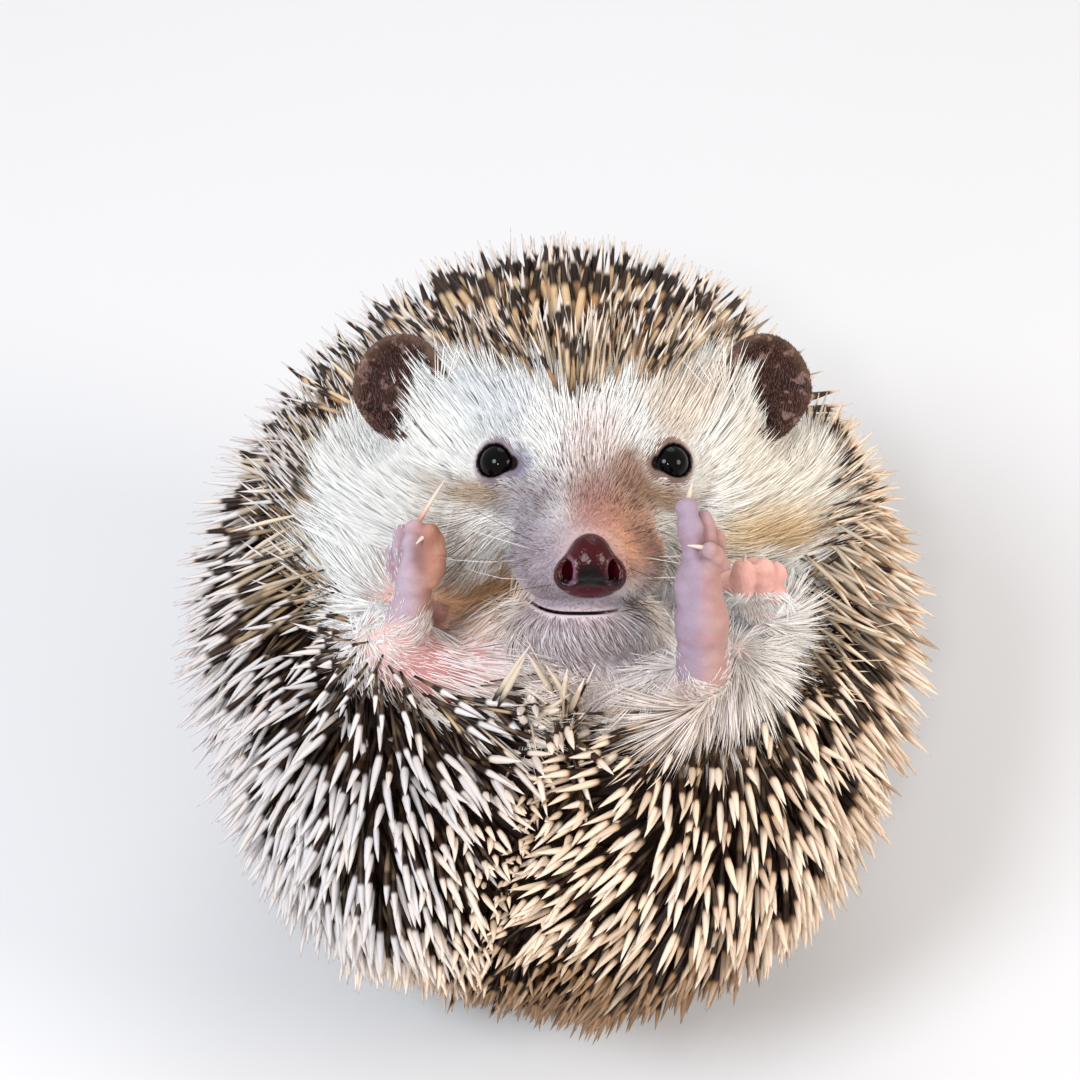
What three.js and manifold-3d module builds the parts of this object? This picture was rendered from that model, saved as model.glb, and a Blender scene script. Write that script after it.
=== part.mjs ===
// A four-toed hedgehog, life size, rolled up on its lower back with its face and feet showing.
//
// Everything is modelled in the animal's own pose frame, in millimetres: the middle of the ball is the
// origin, +X is the animal's left, +Y runs from the middle of the ball to the crown, and +Z comes out of
// the opening of the rolled coat, where the face and feet are. The exported group turns that frame back
// onto the floor, so that the ball rests on a small flat under the back, and centres it on its own box.
// Each surface is the outside of the coat: the tips of the spines, and the top of the fur.

import * as THREE from "three";
import { mergeVertices } from "three/addons/utils/BufferGeometryUtils.js";
import Module from "manifold-3d";

const wasm = await Module();
wasm.setup();

// ---------------------------------------------------------------- driving dimensions, in millimetres

const GAP = 0.3; // clearance between neighbouring pieces
const REST_TURN = THREE.MathUtils.degToRad(40); // how far the pose frame leans back about X
const FLAT_DEPTH = 2.6; // how much of the round back the flat takes off

const COAT = { centre: [0, -0.5, -5], radii: [49.5, 52, 40] }; // the ball out to the spine tips
const CROWN = { centre: [2.5, 25, 3], radii: [28, 26, 23] }; // the spiny cap behind the forehead
const RUMP = { centre: [0, -18, 11], radii: [42, 31, 29] }; // the haunches, bulging forwards
const HOLLOW = { centre: [2, 14, 45], radii: [41, 24, 27] }; // what the rolled coat leaves open
const OPENING = { centre: [2, 13], radii: [34, 24], floor: -4 }; // where spines give way to fur
const CHEST = { centre: [2.5, -2.5, 17.5], radii: [20, 10, 15.5] }; // the chest, under the chin
const BELLY_TOP = 7; // the belly ends and the neck begins at this height
const BACK_FRONT = -18; // the back lies behind this plane

const FACE_X = 3.3; // the head sits a little to the animal's left
const CRANIUM = { centre: [FACE_X, 23.5, 11], radii: [23, 13.5, 18.5] };
const CHEEK = { spread: 16, centre: [FACE_X, 17.5, 9.5], radii: [16.5, 12.5, 13.5] };
const SNOUT = { from: [FACE_X, 19.5, 22], fromRadius: 10.8, to: [3.5, 10.6, 41.8], toRadius: 5.5 };
const LIP_PAD = { spread: 4.1, centre: [3.5, 9.9, 33.5], radii: [6.0, 5.6, 8.5] }; // either side of the nose
const JAW = { centre: [3.2, 3.4, 26.5], radii: [8.8, 5.6, 11.8] };
const MUZZLE_START = 30.5; // the muzzle is what lies in front of this plane
const NOSE = { centre: [3.6, 9.9, 46.4], radii: [3.2, 3.4, 2.6], wing: 2.5, wingRadius: 1.75 };

const EYE = { spread: 10.1, height: 21.6, radius: 2.45, sunk: 1.4 };
const EAR = { spread: 22.6, height: 31.2, depth: 17.8, radii: [6.5, 7.0, 3.2], wall: 1.2 };
const EAR_HOLLOW = { centre: [0, -1.5, 9], radii: [8.5, 10, 12] }; // in the coat, measured from each ear

const TOE = { radius: 1.5, tipRadius: 1.25 };
const HIND_TOE_SHARE = { left: [0.7, 1, 0.95, 0.9], right: [0.9, 0.9, 0.9, 0.9] }; // of those radii
const CLAW = { radius: 0.52, tipRadius: 0.25, rootAlong: 0.15 };

// ---------------------------------------------------------------- materials

const finish = (colour, roughness) =>
  new THREE.MeshStandardMaterial({ color: colour, roughness, metalness: 0 });
const SPINES = finish(0xb9a788, 0.6);
const FACE_FUR = finish(0xe9e3dc, 0.9);
const BELLY_FUR = finish(0xdccbc2, 0.9);
const MUZZLE_SKIN = finish(0xc9a79b, 0.7);
const PINK_SKIN = finish(0xd79a93, 0.55);
const EAR_SKIN = finish(0x4c302c, 0.7);
const NOSE_SKIN = finish(0x3f1219, 0.25);
const EYE_BLACK = finish(0x08080c, 0.05);
const CLAW_HORN = finish(0xe8cfbd, 0.4);

// ---------------------------------------------------------------- fields: distance to a surface, minus inside

const vector = (list) => new THREE.Vector3(...list);

function ellipsoid({ centre, radii }, grow = 0) {
  const c = vector(centre);
  const r = vector(radii).addScalar(grow);
  return (p) => {
    const q = p.clone().sub(c).divide(r);
    const k = q.length();
    return (k * (k - 1)) / (q.divide(r).length() || 1e-6);
  };
}

function roundCone({ from, fromRadius, to, toRadius }, grow = 0) {
  const a = vector(from);
  const line = vector(to).sub(a);
  return (p) => {
    const q = p.clone().sub(a);
    const t = THREE.MathUtils.clamp(q.dot(line) / line.lengthSq(), 0, 1);
    return q.addScaledVector(line, -t).length() - THREE.MathUtils.lerp(fromRadius, toRadius, t) - grow;
  };
}

// The smaller of two distances, rounded where they meet.
function soften(a, b, width) {
  const h = Math.max(width - Math.abs(a - b), 0) / width;
  return Math.min(a, b) - (h * h * width) / 4;
}

const joined = (width, ...fields) => (p) => fields.map((f) => f(p)).reduce((a, b) => soften(a, b, width));
const hollowed = (width, field, tool) => (p) => -soften(-field(p), tool(p), width);

// ---------------------------------------------------------------- solids

function solidOf(geometry) {
  const loose = geometry.index ? geometry.toNonIndexed() : geometry;
  const bare = new THREE.BufferGeometry().setAttribute("position", loose.getAttribute("position"));
  const merged = mergeVertices(bare, 1e-4);
  const kept = [];
  for (let i = 0; i < merged.index.count; i += 3) {
    const [a, b, c] = [0, 1, 2].map((k) => merged.index.getX(i + k));
    if (a !== b && b !== c && c !== a) kept.push(a, b, c);
  }
  const made = (order) =>
    new wasm.Manifold(
      new wasm.Mesh({
        numProp: 3,
        vertProperties: new Float32Array(merged.attributes.position.array),
        triVerts: new Uint32Array(order),
      }),
    );
  const solid = made(kept);
  return solid.volume() > 0 ? solid : made(kept.slice().reverse());
}

// A closed skin drawn tight round a field, seen from a point inside it.
function wrapped(field, heart, detail, reach = 70) {
  const shell = new THREE.IcosahedronGeometry(1, detail);
  const corners = shell.getAttribute("position");
  const start = vector(heart);
  const probe = new THREE.Vector3();
  for (let i = 0; i < corners.count; i++) {
    const ray = new THREE.Vector3().fromBufferAttribute(corners, i).normalize();
    const at = (t) => field(probe.copy(start).addScaledVector(ray, t));
    let far = reach;
    while (far > 0.5 && at(far - 0.5) > 0) far -= 0.5;
    let near = far - 0.5;
    for (let step = 0; step < 14; step++) {
      const middle = (near + far) / 2;
      if (at(middle) > 0) far = middle;
      else near = middle;
    }
    probe.copy(start).addScaledVector(ray, near);
    corners.setXYZ(i, probe.x, probe.y, probe.z);
  }
  return solidOf(shell);
}

// A rounded, tapered rod from one point to another.
function rod(from, fromRadius, to, toRadius, grow = 0, sides = 10, arc = 2) {
  const a = vector(from);
  const line = vector(to).sub(a);
  const length = line.length();
  const profile = [];
  for (let i = 0; i <= arc; i++) {
    const angle = ((i / arc) * Math.PI) / 2;
    const r = fromRadius + grow;
    profile.push(new THREE.Vector2(i ? Math.sin(angle) * r : 0, -Math.cos(angle) * r));
  }
  for (let i = 0; i <= arc; i++) {
    const angle = ((i / arc) * Math.PI) / 2;
    const r = toRadius + grow;
    profile.push(new THREE.Vector2(i < arc ? Math.cos(angle) * r : 0, length + Math.sin(angle) * r));
  }
  const shape = new THREE.LatheGeometry(profile, sides);
  const turn = new THREE.Quaternion().setFromUnitVectors(new THREE.Vector3(0, 1, 0), line.normalize());
  shape.applyQuaternion(turn).translate(a.x, a.y, a.z);
  return solidOf(shape);
}

// A chain of rods through stations [x, y, z, radius].
function chain(stations, grow = 0, sides = 10, arc = 2) {
  return stations
    .slice(1)
    .map((end, i) => rod(stations[i].slice(0, 3), stations[i][3], end.slice(0, 3), end[3], grow, sides, arc))
    .reduce((a, b) => a.add(b));
}

function ball(centre, radii, grow = 0, turn = new THREE.Quaternion(), around = 10, along = 6) {
  const shape = new THREE.SphereGeometry(1, around, along);
  shape.scale(radii[0] + grow, radii[1] + grow, radii[2] + grow);
  shape.applyQuaternion(turn).translate(...centre);
  return solidOf(shape);
}

function block(size, centre, turn = new THREE.Quaternion()) {
  const shape = new THREE.BoxGeometry(...size);
  return solidOf(shape.applyQuaternion(turn).translate(...centre));
}

// The part of space between two directions round Z, with half a gap left free along both.
function sector(fromDegrees, toDegrees, low, high) {
  const [a, b] = [fromDegrees, toDegrees].map(THREE.MathUtils.degToRad);
  const middle = (a + b) / 2;
  const inset = GAP / 2 / Math.sin((b - a) / 2);
  const reach = 90;
  const outline = new THREE.Shape();
  outline.moveTo(Math.cos(middle) * inset, Math.sin(middle) * inset);
  for (const angle of [a, middle, b])
    outline.lineTo(
      Math.cos(middle) * inset + Math.cos(angle) * reach,
      Math.sin(middle) * inset + Math.sin(angle) * reach,
    );
  const shape = new THREE.ExtrudeGeometry(outline, { depth: high - low, bevelEnabled: false });
  return solidOf(shape.translate(0, 0, low));
}

// ---------------------------------------------------------------- the rolled trunk

const trunkField = (() => {
  const bulk = joined(8, ...[COAT, CROWN, RUMP].map((part) => ellipsoid(part)));
  const beside = [-1, 1].map((side) => {
    const [x, y, z] = EAR_HOLLOW.centre;
    const centre = [FACE_X + side * EAR.spread + x, EAR.height + y, EAR.depth + z];
    return ellipsoid({ centre, radii: EAR_HOLLOW.radii });
  });
  const open = joined(5, hollowed(8, bulk, ellipsoid(HOLLOW)), ellipsoid(CHEST));
  return hollowed(5, open, joined(2, ...beside));
})();

const trunk = (() => {
  const whole = wrapped(trunkField, [0, -4, -4], 7);
  // The floor, seen in the pose frame, lies under the lower back.
  const turn = new THREE.Quaternion().setFromAxisAngle(new THREE.Vector3(1, 0, 0), -REST_TURN);
  const down = new THREE.Vector3(0, 0, -1).applyQuaternion(turn);
  let lowest = 0;
  const found = whole.getMesh().vertProperties;
  for (let i = 0; i < found.length; i += 3)
    lowest = Math.max(lowest, down.x * found[i] + down.y * found[i + 1] + down.z * found[i + 2]);
  const slab = 40;
  const floor = down.clone().multiplyScalar(lowest - FLAT_DEPTH + slab / 2);
  return whole.subtract(block([160, 160, slab], floor.toArray(), turn));
})();

// The furred middle of the opening, as a plug down into the ball.
function plug(grow = 0) {
  const { centre, radii, floor } = OPENING;
  const outline = new THREE.Shape().absellipse(...centre, radii[0] + grow, radii[1] + grow, 0, 2 * Math.PI);
  const shape = new THREE.ExtrudeGeometry(outline, { depth: 70, bevelEnabled: false, curveSegments: 12 });
  return solidOf(shape.translate(0, 0, floor - grow));
}

const spiny = (fromDegrees, toDegrees) =>
  trunk.subtract(plug(GAP)).intersect(sector(fromDegrees, toDegrees, BACK_FRONT + GAP / 2, 80));
const behind = () => trunk.intersect(block([200, 200, 100], [0, 0, BACK_FRONT - GAP / 2 - 50]));
const furred = (low, high) =>
  trunk.intersect(plug()).intersect(block([200, high - low, 200], [0, (high + low) / 2, 0]));

const TAIL = [[-1.2, -10, 30.5, 2.2], [-1.0, -6.5, 29.6, 1.6], [-0.6, -3.2, 28.4, 0.9]];
const tail = (grow) => chain(TAIL, grow, 7, 1);

// ---------------------------------------------------------------- the head

const headField = (grow = 0) => {
  const pair = ({ spread, centre: [x, y, z], radii }) =>
    [-1, 1].map((side) => ellipsoid({ centre: [x + side * spread, y, z], radii }, grow));
  const muzzleShape = joined(4, roundCone(SNOUT, grow), ...pair(LIP_PAD));
  return joined(6, ellipsoid(CRANIUM, grow), ...pair(CHEEK), muzzleShape);
};

const wholeHead = (grow = 0) => wrapped(headField(grow), [FACE_X, 18, 14], 4);
const inFront = (plane) => block([200, 200, 100], [0, 0, plane + 50]);
const head = (grow) => wholeHead(grow).subtract(inFront(MUZZLE_START + (grow ? 100 : 0)));
const muzzle = (grow) => wholeHead(grow).intersect(inFront(MUZZLE_START + GAP - grow));
const lowerJaw = (grow) =>
  grow ? ball(JAW.centre, JAW.radii, grow) : ball(JAW.centre, JAW.radii).subtract(wholeHead(GAP));

function nose(grow) {
  const [x, y, z] = NOSE.centre;
  const wing = (side) => ({
    centre: [x + side * NOSE.wing, y - 1.3, z - 0.1],
    radii: [NOSE.wingRadius, NOSE.wingRadius * 1.15, NOSE.wingRadius],
  });
  const lip = { centre: [x, y - 2.9, z - 0.9], radii: [2.2, 1.3, 1.9] };
  const field = joined(1.2, ...[NOSE, wing(-1), wing(1), lip].map((part) => ellipsoid(part, grow)));
  return wrapped(field, [x, y - 0.8, z - 0.2], 2, 12);
}

// How far out of the opening the head's surface lies at a point.
function surfaceAt(field, x, y) {
  let z = 60;
  while (z > 0 && field(new THREE.Vector3(x, y, z)) > 0) z -= 0.05;
  return z;
}

function eye(side, grow) {
  const x = FACE_X + side * EYE.spread;
  const r = EYE.radius;
  return ball([x, EYE.height, surfaceAt(headField(), x, EYE.height) - EYE.sunk], [r, r, r], grow);
}

function ear(side, grow) {
  const turn = new THREE.Quaternion().setFromEuler(new THREE.Euler(-0.12, side * 0.42, side * -0.1));
  const centre = [FACE_X + side * EAR.spread, EAR.height, EAR.depth];
  const shell = ball(centre, EAR.radii, grow, turn);
  if (grow) return shell;
  const cup = new THREE.Vector3(0, 0.5, EAR.radii[2] * 0.75).applyQuaternion(turn).add(vector(centre));
  return shell.subtract(ball(cup.toArray(), EAR.radii.map((r) => r - EAR.wall), 0, turn));
}

// ---------------------------------------------------------------- the limbs

// The hind limbs lie differently on either side. Stations are x, y, z, radius.
const HIND_LEG = { // hip, knee, heel
  left: [[20.5, -4, 23.5, 6.8], [10, -8.5, 25.5, 4.6], [17.4, -3.4, 34.2, 3.4]],
  right: [[-20, -1.5, 25.5, 6.8], [-8.5, -7, 26, 4.4], [-19.4, -4, 25.2, 3.4]],
};
const HIND_FOOT = {
  left: [[16.8, -2.2, 36.2, 3.4], [16.5, 3.2, 39.4, 2.9], [16.0, 9.0, 41.8, 2.6]],
  right: [[-19.2, -2.8, 27.2, 2.9], [-17.6, 3.0, 30.6, 2.3], [-16.4, 8.6, 32.8, 2.5]],
};
const HIND_PAD = {
  left: { centre: [14.4, 7.1, 41.4], radii: [1.4, 2.3, 1.8] },
  right: { centre: [-14.6, 10.6, 33.8], radii: [1.9, 3.9, 1.9] },
};
// Each toe: where it leaves the foot, its tip, and its claw's tip.
const HIND_TOES = {
  left: [
    [[18.6, 9.8, 41.8], [17.0, 11.5, 44.2], [14.4, 11.9, 45.4]],
    [[15.4, 10.8, 42.8], [14.5, 16.2, 43.3], [15.3, 19.2, 42.0]],
    [[16.8, 11.0, 41.2], [16.5, 14.8, 41.4], [16.7, 15.6, 38.6]],
    [[17.6, 10.0, 39.8], [18.0, 12.8, 40.0], [18.2, 13.5, 37.2]],
  ],
  right: [
    [[-15.4, 9.6, 34.0], [-14.9, 13.4, 34.4], [-16.3, 12.0, 36.6]],
    [[-17.0, 10.0, 33.0], [-16.5, 14.0, 33.9], [-12.9, 19.6, 35.6]],
    [[-17.9, 9.4, 31.6], [-18.1, 13.4, 32.0], [-18.2, 14.2, 29.2]],
    [[-18.5, 8.2, 30.4], [-19.0, 11.2, 30.2], [-19.3, 11.8, 27.5]],
  ],
};

// The right fore limb is the left one, mirrored and shifted to where that side holds it.
const FORE_LEG = [[25.5, 2, 16, 5.2], [24.2, 5.2, 24.5, 3.6]];
const FORE_PAW = [[23.8, 6.8, 26.8, 2.8], [23.2, 8.2, 29.6, 2.5]];
const FORE_TOES = [
  [[21.2, 7.2, 29.4], [20.2, 7.8, 30.4], [19.4, 9.0, 31.2]],
  [[21.9, 7.0, 31.4], [21.7, 9.2, 33.4], [21.9, 10.9, 34.9]],
  [[24.1, 7.2, 31.0], [24.2, 9.3, 32.4], [24.4, 10.6, 30.9]],
  [[25.3, 7.4, 29.8], [25.8, 8.8, 30.4], [26.2, 10.1, 28.9]],
  [[25.1, 6.0, 28.8], [25.9, 6.4, 29.4], [26.8, 7.2, 28.2]],
];
const FORE_SHIFT = [5.5, -4.0, -9.5];
function fore(points, word) {
  if (word === "left") return points;
  const [dx, dy, dz] = FORE_SHIFT;
  return points.map(([x, y, z, ...rest]) => [dx - x, y + dy, z + dz, ...rest]);
}

function foot(stations, toes, grow, shares = []) {
  return toes.reduce((whole, [root, tip], i) => {
    const share = shares[i] ?? 1;
    return whole.add(rod(root, TOE.radius * share, tip, TOE.tipRadius * share, grow, 5, 1));
  }, chain(stations, grow, 7, 1));
}

const toesOf = (pair, word) =>
  pair === "hind" ? HIND_TOES[word] : FORE_TOES.map((toe) => fore(toe, word));
const hindFoot = (word, grow) =>
  foot(HIND_FOOT[word], HIND_TOES[word], grow, HIND_TOE_SHARE[word]).add(
    ball(HIND_PAD[word].centre, HIND_PAD[word].radii, grow, undefined, 7, 4),
  );
const forePaw = (word, grow) => foot(fore(FORE_PAW, word), toesOf("fore", word), grow);
const hindLeg = (word, grow) => chain(HIND_LEG[word], grow, 8, 1);
const foreLeg = (word, grow) => chain(fore(FORE_LEG, word), grow, 9, 1);

function claw([, tip, point], grow) {
  const root = vector(tip).lerp(vector(point), CLAW.rootAlong).toArray();
  return rod(root, CLAW.radius, point, CLAW.tipRadius, grow, 4, 1);
}

// ---------------------------------------------------------------- the assembly

// Inner pieces come first: each later piece is cut back from all of those before it.
const pieces = [];
const piece = (name, material, build) => pieces.push({ name, material, build });
const SIDES = [["left", 1], ["right", -1]];

for (const [word, side] of SIDES) piece("eye_" + word, EYE_BLACK, (grow) => eye(side, grow));
piece("nose", NOSE_SKIN, nose);
for (const [word] of SIDES)
  for (const pair of ["hind", "fore"])
    toesOf(pair, word).forEach((toe, i) =>
      piece("claw_" + pair + "_" + word + "_" + (i + 1), CLAW_HORN, (grow) => claw(toe, grow)),
    );
for (const [word] of SIDES) piece("hindfoot_" + word, PINK_SKIN, (grow) => hindFoot(word, grow));
for (const [word] of SIDES) piece("forepaw_" + word, PINK_SKIN, (grow) => forePaw(word, grow));
for (const [word, side] of SIDES) piece("ear_" + word, EAR_SKIN, (grow) => ear(side, grow));
piece("muzzle", MUZZLE_SKIN, muzzle);
piece("head", FACE_FUR, head);
piece("lower_jaw", MUZZLE_SKIN, lowerJaw);
for (const [word] of SIDES) piece("hindleg_" + word, PINK_SKIN, (grow) => hindLeg(word, grow));
for (const [word] of SIDES) piece("foreleg_" + word, BELLY_FUR, (grow) => foreLeg(word, grow));
piece("tail", PINK_SKIN, tail);
const trunkPieces = [
  ["neck", FACE_FUR, () => furred(BELLY_TOP + GAP, 90)],
  ["belly", BELLY_FUR, () => furred(-90, BELLY_TOP)],
  ["crown", SPINES, () => spiny(38, 142)],
  ["flank_right", SPINES, () => spiny(142, 222)],
  ["rump", SPINES, () => spiny(222, 318)],
  ["flank_left", SPINES, () => spiny(318, 398)],
  ["back", SPINES, behind],
];

const largest = (solid) => solid.decompose().reduce((a, b) => (a.volume() > b.volume() ? a : b));

function meshOf(solid, name, material) {
  const found = solid.getMesh();
  const shape = new THREE.BufferGeometry();
  shape.setAttribute("position", new THREE.BufferAttribute(Float32Array.from(found.vertProperties), 3));
  shape.setIndex(new THREE.BufferAttribute(Uint32Array.from(found.triVerts), 1));
  shape.computeVertexNormals();
  const mesh = new THREE.Mesh(shape, material);
  mesh.name = name;
  return mesh;
}

const hedgehog = new THREE.Group();
let taken = null;
for (const { name, material, build } of pieces) {
  const solid = taken ? build(0).subtract(taken) : build(0);
  hedgehog.add(meshOf(largest(solid), name, material));
  taken = taken ? taken.add(build(GAP)) : build(GAP);
}
for (const [name, material, build] of trunkPieces)
  hedgehog.add(meshOf(largest(build().subtract(taken)), name, material));

hedgehog.rotation.x = REST_TURN;
const box = new THREE.Box3().setFromObject(hedgehog, true);
const middle = box.getCenter(new THREE.Vector3());
hedgehog.position.set(-middle.x, -middle.y, -box.min.z);

export default hedgehog;
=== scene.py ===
"""A four-toed hedgehog, rolled up on its lower back: its skin, spines, fur, face and feet.

Shapes are worked out in millimetres in the animal's own pose frame, as the solids are: the middle of
the ball is the origin, +X is the animal's left, +Y runs to the crown, and +Z comes out of the opening
of the rolled coat. The frame is then leaned back onto the floor and turned into metres.
"""

import bpy
import math
import numpy as np
from mathutils import Matrix, Vector, kdtree, noise


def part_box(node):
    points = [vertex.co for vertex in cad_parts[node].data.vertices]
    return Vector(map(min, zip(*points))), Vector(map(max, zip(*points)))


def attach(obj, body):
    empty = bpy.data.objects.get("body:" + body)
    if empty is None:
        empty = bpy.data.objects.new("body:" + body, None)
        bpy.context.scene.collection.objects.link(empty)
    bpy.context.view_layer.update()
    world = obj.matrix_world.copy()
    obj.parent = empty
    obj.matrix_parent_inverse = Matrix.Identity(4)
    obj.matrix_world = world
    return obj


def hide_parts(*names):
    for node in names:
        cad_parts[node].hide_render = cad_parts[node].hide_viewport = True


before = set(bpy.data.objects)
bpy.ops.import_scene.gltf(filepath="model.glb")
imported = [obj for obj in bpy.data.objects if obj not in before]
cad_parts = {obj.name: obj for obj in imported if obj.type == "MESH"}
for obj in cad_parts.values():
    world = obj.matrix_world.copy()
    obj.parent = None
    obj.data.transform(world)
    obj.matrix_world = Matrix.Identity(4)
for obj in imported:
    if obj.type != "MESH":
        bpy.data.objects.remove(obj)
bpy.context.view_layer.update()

MM = 0.001
SHARE = 1.0  # how much of the fur is grown
rng = np.random.default_rng(11)
noise.seed_set(11)  # without it the noise would differ from run to run

# ------------------------------------------------------------ driving dimensions, in millimetres

REST_TURN = math.radians(40)  # how far the pose frame leans back about X
COAT = ((0, -0.5, -5), (49.5, 52, 40))  # the ball out to the spine tips: centre, radii
CROWN = ((2.5, 25, 3), (28, 26, 23))
RUMP = ((0, -18, 11), (42, 31, 29))
HOLLOW = ((2, 14, 45), (41, 24, 27))  # what the rolled coat leaves open
CHEST = ((2.5, -2.5, 17.5), (20, 10, 15.5))
COAT_DEPTH = 9.5  # from the skin to the tips of the spines
SKIN_KEPT = 0.62  # the share of the skin's faces that is kept; the rest go from under the spines
FUR_DEPTH = 1.4  # from the skin of the face to the top of its fur
BELLY_DEPTH = 2.2

FACE_X = 3.3  # the head sits a little to the animal's left
CRANIUM = ((FACE_X, 23.5, 11), (23, 13.5, 18.5))
CHEEK_SPREAD = 16
CHEEK = ((FACE_X, 17.5, 9.5), (16.5, 12.5, 13.5))
SNOUT = ((FACE_X, 19.5, 22), 10.8, (3.5, 10.6, 41.8), 5.5)
LIP_SPREAD = 4.1
LIP_PAD = ((3.5, 9.9, 33.5), (6.0, 5.6, 8.5))
JAW = ((3.2, 3.4, 26.5), (8.8, 5.6, 11.8))
NOSE = ((3.6, 9.9, 46.4), (3.2, 3.4, 2.6))
NOSE_WING = 2.5
EYE_SPREAD, EYE_HEIGHT, EYE_RADIUS, EYE_SUNK = 10.1, 21.6, 2.45, 1.4
EAR_SPREAD, EAR_HEIGHT, EAR_OUT = 22.6, 31.2, 17.8
EAR_RADII = (6.5, 7.0, 3.2)

# Hind limbs, the animal's left (1) and right (-1), which lie differently. Stations: x, y, z, radius.
HIND_LEG = {  # hip, knee, heel
    1: ((20.5, -4, 23.5, 6.8), (10, -8.5, 25.5, 4.6), (17.4, -3.4, 34.2, 3.4)),
    -1: ((-20, -1.5, 25.5, 6.8), (-8.5, -7, 26, 4.4), (-19.4, -4, 25.2, 3.4)),
}
HIND_FOOT = {
    1: ((16.8, -2.2, 36.2, 3.4), (16.5, 3.2, 39.4, 2.9), (16.0, 9.0, 41.8, 2.6)),
    -1: ((-19.2, -2.8, 27.2, 2.9), (-17.6, 3.0, 30.6, 2.3), (-16.4, 8.6, 32.8, 2.5)),
}
HIND_PAD = {1: ((14.4, 7.1, 41.4), (1.4, 2.3, 1.8)), -1: ((-14.6, 10.6, 33.8), (1.9, 3.9, 1.9))}
# Each toe: where it leaves the foot, its tip, and its claw's tip.
HIND_TOES = {
    1: (
        ((18.6, 9.8, 41.8), (17.0, 11.5, 44.2), (14.4, 11.9, 45.4)),
        ((15.4, 10.8, 42.8), (14.5, 16.2, 43.3), (15.3, 19.2, 42.0)),
        ((16.8, 11.0, 41.2), (16.5, 14.8, 41.4), (16.7, 15.6, 38.6)),
        ((17.6, 10.0, 39.8), (18.0, 12.8, 40.0), (18.2, 13.5, 37.2)),
    ),
    -1: (
        ((-15.4, 9.6, 34.0), (-14.9, 13.4, 34.4), (-16.3, 12.0, 36.6)),
        ((-17.0, 10.0, 33.0), (-16.5, 14.0, 33.9), (-12.9, 19.6, 35.6)),
        ((-17.9, 9.4, 31.6), (-18.1, 13.4, 32.0), (-18.2, 14.2, 29.2)),
        ((-18.5, 8.2, 30.4), (-19.0, 11.2, 30.2), (-19.3, 11.8, 27.5)),
    ),
}
SOLE_TURN = {1: 16.6, -1: -16.2}  # where the tone changes across each foot
ANKLE = {1: -4.0, -1: 3.0}  # the fur of each leg reaches up its foot to this height

# Fore limbs of the animal's left; the right ones are mirrored and shifted.
FORE_LEG = ((25.5, 2, 16, 5.2), (24.2, 5.2, 24.5, 3.6))
FORE_PAW = ((23.8, 6.8, 26.8, 2.8), (23.2, 8.2, 29.6, 2.5))
FORE_TOES = (
    ((21.2, 7.2, 29.4), (20.2, 7.8, 30.4), (19.4, 9.0, 31.2)),
    ((21.9, 7.0, 31.4), (21.7, 9.2, 33.4), (21.9, 10.9, 34.9)),
    ((24.1, 7.2, 31.0), (24.2, 9.3, 32.4), (24.4, 10.6, 30.9)),
    ((25.3, 7.4, 29.8), (25.8, 8.8, 30.4), (26.2, 10.1, 28.9)),
    ((25.1, 6.0, 28.8), (25.9, 6.4, 29.4), (26.8, 7.2, 28.2)),
)
TOE_THICK = 1.2
HIND_TOE_SHARE = {1: (0.7, 1.0, 0.95, 0.9), -1: (0.9, 0.9, 0.9, 0.9)}  # of that thickness
FORE_SHIFT = (5.5, -4.0, -9.5)
WRIST = 6.3  # the fur of the left arm reaches up its paw to this height
TAIL = ((-1.2, -10, 30.5, 2.2), (-1.0, -6.5, 29.6, 1.6), (-0.6, -3.2, 28.4, 0.9))

# How far the fur reaches from the middle of the opening, at 16 clock directions from +X on.
FUR_MIDDLE = (2, 12)
FUR_EDGE = (29, 34.5, 31, 21.5, 18.5, 23.5, 30.5, 34, 32.0, 29.0, 25.5, 20.2, 21.0, 24.6, 30.5, 31.5)
HIPS = {-1: np.array([-21.9, 0.9, 29]), 1: np.array([21.8, -0.2, 29])}  # the lower fur leaves these
SEAM_TOP, SEAM_SLOPE = (-0.8, -11.6), 0.34  # where both sides of the lower coat meet


def seam_x(y):
    """The seam of the lower coat, which drifts to the animal's right further down."""
    return SEAM_TOP[0] + SEAM_SLOPE * np.minimum(y - SEAM_TOP[1], 0)


# ------------------------------------------------------------ distances to a surface, minus inside
# Places are a (3, n) array, or three arrays.


def ellipsoid(p, shape, grow=0.0):
    centre, radii = shape
    q = [(p[i] - centre[i]) / (radii[i] + grow) for i in range(3)]
    k = np.sqrt(q[0] ** 2 + q[1] ** 2 + q[2] ** 2)
    steep = np.sqrt(sum((q[i] / (radii[i] + grow)) ** 2 for i in range(3)))
    return k * (k - 1) / np.maximum(steep, 1e-6)


def round_cone(p, a, ra, b, rb, grow=0.0):
    line = [b[i] - a[i] for i in range(3)]
    length2 = sum(v * v for v in line)
    q = [p[i] - a[i] for i in range(3)]
    along = q[0] * line[0] + q[1] * line[1] + q[2] * line[2]
    t = np.clip(along / length2, 0, 1)
    away2 = (q[0] ** 2 + q[1] ** 2 + q[2] ** 2) - t * (2 * along - t * length2)
    return np.sqrt(np.maximum(away2, 1e-12)) - (ra + (rb - ra) * t) - grow


def join(a, b, width):
    h = np.maximum(width - np.abs(a - b), 0) / width
    return np.minimum(a, b) - h * h * width / 4


def carve(a, tool, width):
    return -join(-a, tool, width)


def chain(p, stations, grow=0.0, width=1.5):
    out = None
    for a, b in zip(stations, stations[1:]):
        d = round_cone(p, a[:3], a[3], b[:3], b[3], grow)
        out = d if out is None else join(out, d, width)
    return out


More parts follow.
